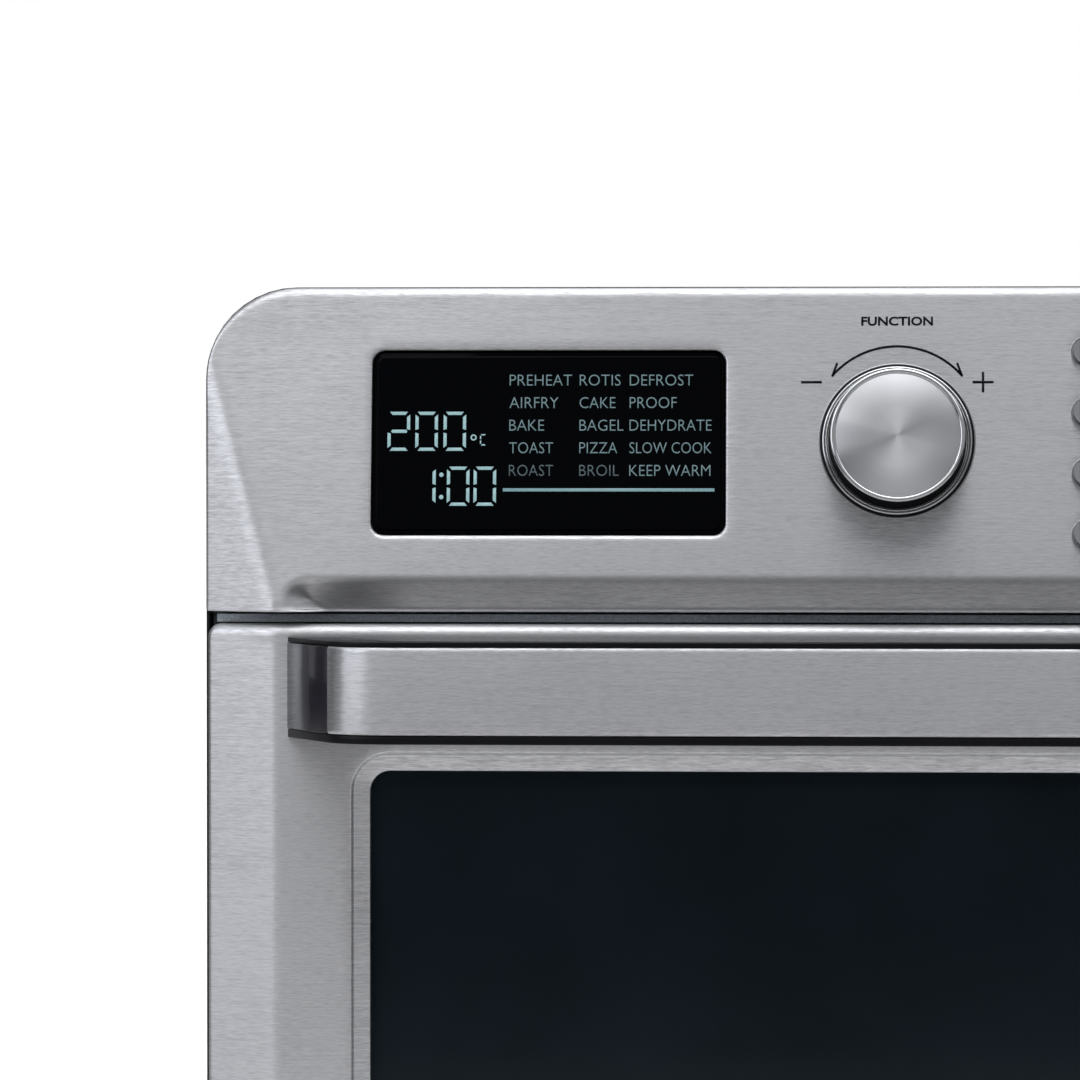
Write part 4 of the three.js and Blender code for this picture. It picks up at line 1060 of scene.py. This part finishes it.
band_rings = [(band_plan(depth), BAND_LOW + z) for z, depth in BAND_ROLL]
band_rings += [(band_plan(depth), BAND_HIGH - z) for z, depth in reversed(BAND_ROLL)]
piece("handle_steel_band", stack(band_rings), STEEL_BAND, "door", ["handle_band"], soft=0.12)
flange = bar_plan(bow(FLANGE_BACK), CORE_REAR)
waist = bar_plan(bow(WAIST_BACK), [(x + 0.1, f) for x, f in CORE_REAR])
seat_low, seat_high = BAND_LOW - BAND_SEAT, BAND_HIGH + BAND_SEAT
core_rings = [
    (flange, HANDLE_LOW), (flange, seat_low), (waist, seat_low),
    (waist, seat_high), (flange, seat_high), (flange, HANDLE_HIGH),
]
core = stack(core_rings)
piece("handle_black_core", core, BLACK_PLASTIC, "door", ["handle_core"], soft=0.25)
for side, s in (("left", -1), ("right", 1)):
    foot, knee = bow(0)[:2]
    foot_in, knee_in = bow(BAND_SHEET)[:2]
    ridge = (foot[0] + CAP_RIDGE[0], foot[1] + CAP_RIDGE[1])
    cap = [foot, ridge, (knee[0] - 0.05, knee[1] - CAP_CLEAR), (knee_in[0], knee_in[1] - CAP_CLEAR), foot_in]
    cap_rings = [([(s * x, f) for x, f in cap], z) for z in (BAND_LOW, BAND_HIGH)]
    piece(
        f"handle_end_cap_{side}", stack(cap_rings), GLOSS_GREY, "door",
        [f"handle_cap_{side}"], soft=0.25,
    )


# ---------------- remaining CAD nodes: finishes and edges
PLAIN_EDGE = 0.3
EDGE = {
    "outer_cover": 0.25, "cord_gland": 0.5, "door_inner_frame": 0.4, "door_seal": 1.2, "fan_motor": 0.6,
    "door_glass": 0.4, "crumb_tray": 0.4, "wire_rack": 0.0, "fan_guard": 0.2, "lamp_lens": 0.6,
}
for name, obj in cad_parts.items():
    look = CAD_LOOKS[name]
    if obj.data.materials:
        for k in range(len(obj.data.materials)):
            obj.data.materials[k] = look
    else:
        obj.data.materials.append(look)
    if not obj.hide_render:
        soften(obj, EDGE.get(name, PLAIN_EDGE))


# ---------------- screws on the rear face, in millimetres
HEAD_RADIUS, HEAD_HEIGHT, HEAD_EDGE = 3.2, 1.5, 0.35  # the edge is the upright share of the height
CROSS_REACH, CROSS_HALF, CROSS_DEPTH = 0.62, 0.17, 0.54  # shares of the radius, and of the height
SCREW_X = (-185, -60, 60, 185)
SCREW_LOW, SCREW_TOP, SCREW_CORNER = 34, 336, 320


def screw_head(bm):
    """A pan head with a cross recess, standing on Z = 0."""
    turns = [pi / 2 * k / 6 for k in range(1, 6)]
    edge, rise = HEAD_HEIGHT * HEAD_EDGE, HEAD_HEIGHT * (1 - HEAD_EDGE)
    side = [(0, 0.0), (HEAD_RADIUS, 0.0), (HEAD_RADIUS, edge)]
    dome = [(HEAD_RADIUS * cos(a), edge + rise * sin(a)) for a in turns]
    crown = [(HEAD_RADIUS * 0.12, HEAD_HEIGHT * 0.99), (0, HEAD_HEIGHT)]
    lathe(side + dome + crown, 32)(bm)
    # cross recess: sink the crown's vertices that lie on either arm
    for v in bm.verts:
        x, y = abs(v.co.x) / MM / HEAD_RADIUS, abs(v.co.y) / MM / HEAD_RADIUS
        on_crown = v.co.z / MM > HEAD_HEIGHT * 0.6 and hypot(x, y) < CROSS_REACH
        if on_crown and min(x, y) < CROSS_HALF:
            v.co.z -= CROSS_DEPTH * HEAD_HEIGHT * MM


rearward = Vector((0, 1, 0)).to_track_quat("Z", "Y").to_matrix().to_4x4()
for x in SCREW_X:
    for row, z in (("top", SCREW_TOP if abs(x) < 100 else SCREW_CORNER), ("low", SCREW_LOW)):
        at = Matrix.Translation(Vector((x, REAR_FACE_Y, z)) * MM) @ rearward
        name = f"screw_rear_{row}_{x}".replace("-", "m")
        piece(name, screw_head, CHASSIS, "housing", matrix=at, soft=0.0)


# ---------------- studio, in metres
FLOOR_HALF = 60.0
FLOOR_SEEN, FLOOR_GLOW, FLOOR_REACH = 0.8, 0.5, 2.0
# the floor's own light and its colour in reflections, by share of FLOOR_REACH from the part's middle
FLOOR_BOUNCE = [(0.0, 0.18), (0.42, 0.18), (0.5, 0.0)]
FLOOR_FALL = [(0.0, (0.58, 0.57, 0.56)), (0.3, (0.5, 0.49, 0.48)), (0.65, 0.08), (1.0, 0.03)]
CEILING = Vector((0, -0.15, 0.99))  # where the soft ceiling light is centred
CEILING_GLOW = [(-1.0, 1.0), (0.76, 1.0), (0.93, 6.6), (0.97, 8.0), (1.0, 11.0)]  # by the cosine from there
# an upright panel on the right and a faint glow from the left round to the back, by azimuth in degrees to the
# left of the front, and how much of both shows by elevation in degrees
AROUND = [(-180, 0.0), (-88, 0.0), (-85, 1.6), (-68, 2.0), (-62, 0.0), (40, 0.0), (46, 0.15), (180, 0.0)]
AROUND_RISE = [(-90, 0.0), (23, 0.0), (28, 1.0), (90, 1.0)]
AROUND_TINT = (0.97, 0.985, 1.04)
# share of the ceiling's light by azimuth, with a darker strip behind the part's left
FILL = [(-180, 0.3), (98, 0.3), (104, 0.06), (118, 0.06), (124, 0.3), (180, 0.3)]
FILL_TINT = (0.985, 0.995, 1.025)
PART_FRONT = (-0.15, -0.15, 0.28)
# each soft light's place, what it points at, its size, its power in watts and its colour
SOFTBOXES = {
    "near_overhead": ((0, -0.42, 0.68), (0, -0.15, 0.3), (0.9, 0.12), 0.55, (1, 1, 1)),
    "upper_left": ((-0.45, -0.9, 0.85), PART_FRONT, (0.6, 0.3), 0.5, (1, 1, 1)),
    "left": ((-0.75, -0.55, 0.55), PART_FRONT, (0.55, 0.55), 1.42, (0.97, 0.985, 1.04)),
}
CAMERA_AT, CAMERA_AIM = Vector((-0.0217, -1.750, 0.3104)), Vector((-0.1057, -0.150, 0.2802))
CAMERA_LENS, CAMERA_SENSOR = 180.2, 36.0


def by_camera(tree, out_kind, lit, seen):
    """Ends a tree with one shader for what the camera sees directly and another for all other light."""
    rays = shader(tree, "LightPath")
    mix = shader(tree, "MixShader", {0: rays.outputs["Is Camera Ray"], 1: lit, 2: seen})
    shader(tree, out_kind, {0: mix.outputs[0]})


def add_shaders(tree, a, b):
    return shader(tree, "AddShader", {0: a.outputs[0], 1: b.outputs[0]}).outputs[0]


def floor_piece():
    """A wide pale floor. It looks white, and gives little light back, so the metal keeps its contrast."""
    mesh = bpy.data.meshes.new("studio_floor")
    corners = [(x * FLOOR_HALF, y * FLOOR_HALF, 0) for x, y in ((-1, -1), (1, -1), (1, 1), (-1, 1))]
    mesh.from_pydata(corners, [], [(0, 1, 2, 3)])
    mat, tree = empty_material("studio_white")
    pale = shader(tree, "BsdfDiffuse", {"Color": (FLOOR_SEEN, FLOOR_SEEN, FLOOR_SEEN, 1)})
    glow = shader(tree, "Emission", {"Strength": FLOOR_GLOW})
    place = shader(tree, "TexCoord").outputs["Object"]
    near = remap(tree, vector_math(tree, "LENGTH", {0: place}), 0.0, FLOOR_REACH, 0.0, 1.0)
    dull = shader(tree, "BsdfDiffuse", {"Color": ramp(tree, near, FLOOR_FALL)})
    bounce = shader(tree, "Emission", {"Color": ramp(tree, near, FLOOR_BOUNCE), "Strength": 1.0})
    by_camera(tree, "OutputMaterial", add_shaders(tree, dull, bounce), add_shaders(tree, pale, glow))
    new_object("studio_floor", mesh, mat)


def level_ramp(tree, value, stops):
    """Straight-line levels between (value, level) stops, which may go above one."""
    low, high = stops[0][0], stops[-1][0]
    peak = max(level for _, level in stops)
    shares = [((at - low) / (high - low), level / peak) for at, level in stops]
    return math_node(tree, "MULTIPLY", ramp(tree, remap(tree, value, low, high, 0.0, 1.0), shares), peak)


def angle_ramp(tree, angle, stops):
    return level_ramp(tree, angle, [(radians(at), level) for at, level in stops])


def studio_world():
    """White where the camera looks past the part; for other light, a soft ceiling and one upright panel."""
    world = bpy.data.worlds.new("studio")
    bpy.context.scene.world = world
    world.use_nodes = True
    tree = world.node_tree
    tree.nodes.clear()
    way = shader(tree, "TexCoord").outputs["Generated"]
    back = shader(tree, "SeparateXYZ", {0: vector_math(tree, "SCALE", {0: way, "Scale": -1.0})})
    azimuth = math_node(tree, "ARCTAN2", back.outputs["X"], back.outputs["Y"])
    rise = shader(tree, "SeparateXYZ", {0: way}).outputs["Z"]
    shown = angle_ramp(tree, math_node(tree, "ARCSINE", rise), AROUND_RISE)
    panel = math_node(tree, "MULTIPLY", angle_ramp(tree, azimuth, AROUND), shown)
    above = vector_math(tree, "DOT_PRODUCT", {0: way, 1: CEILING.normalized()})
    even = math_node(tree, "MULTIPLY", level_ramp(tree, above, CEILING_GLOW), angle_ramp(tree, azimuth, FILL))
    total = vector_math(tree, "ADD", {
        0: vector_math(tree, "SCALE", {0: FILL_TINT, "Scale": even}),
        1: vector_math(tree, "SCALE", {0: AROUND_TINT, "Scale": panel}),
    })
    light = shader(tree, "Background", {"Color": total})
    seen = shader(tree, "Background", {"Color": (1, 1, 1, 1)})
    by_camera(tree, "OutputWorld", light.outputs[0], seen.outputs[0])


def aim(obj, target):
    """Turns a light or camera at its place towards a target."""
    obj.rotation_euler = (Vector(target) - obj.location).to_track_quat("-Z", "Y").to_euler()


def softbox(name, place, target, size, power, color):
    data = bpy.data.lights.new(name, "AREA")
    data.shape = "RECTANGLE"
    data.size, data.size_y = size
    data.energy = power
    data.color = color
    light = new_object(name, data)
    light.location = place
    light.visible_camera = False
    aim(light, target)


floor_piece()
studio_world()
for name, settings in SOFTBOXES.items():
    softbox(name, *settings)

camera = new_object("camera", bpy.data.cameras.new("camera"))
camera.data.sensor_width = CAMERA_SENSOR
camera.data.lens = CAMERA_LENS
camera.data.clip_start, camera.data.clip_end = 0.01, 200.0
camera.location = CAMERA_AT
aim(camera, CAMERA_AIM)
bpy.context.scene.camera = camera
bpy.context.scene.view_settings.view_transform = "Standard"
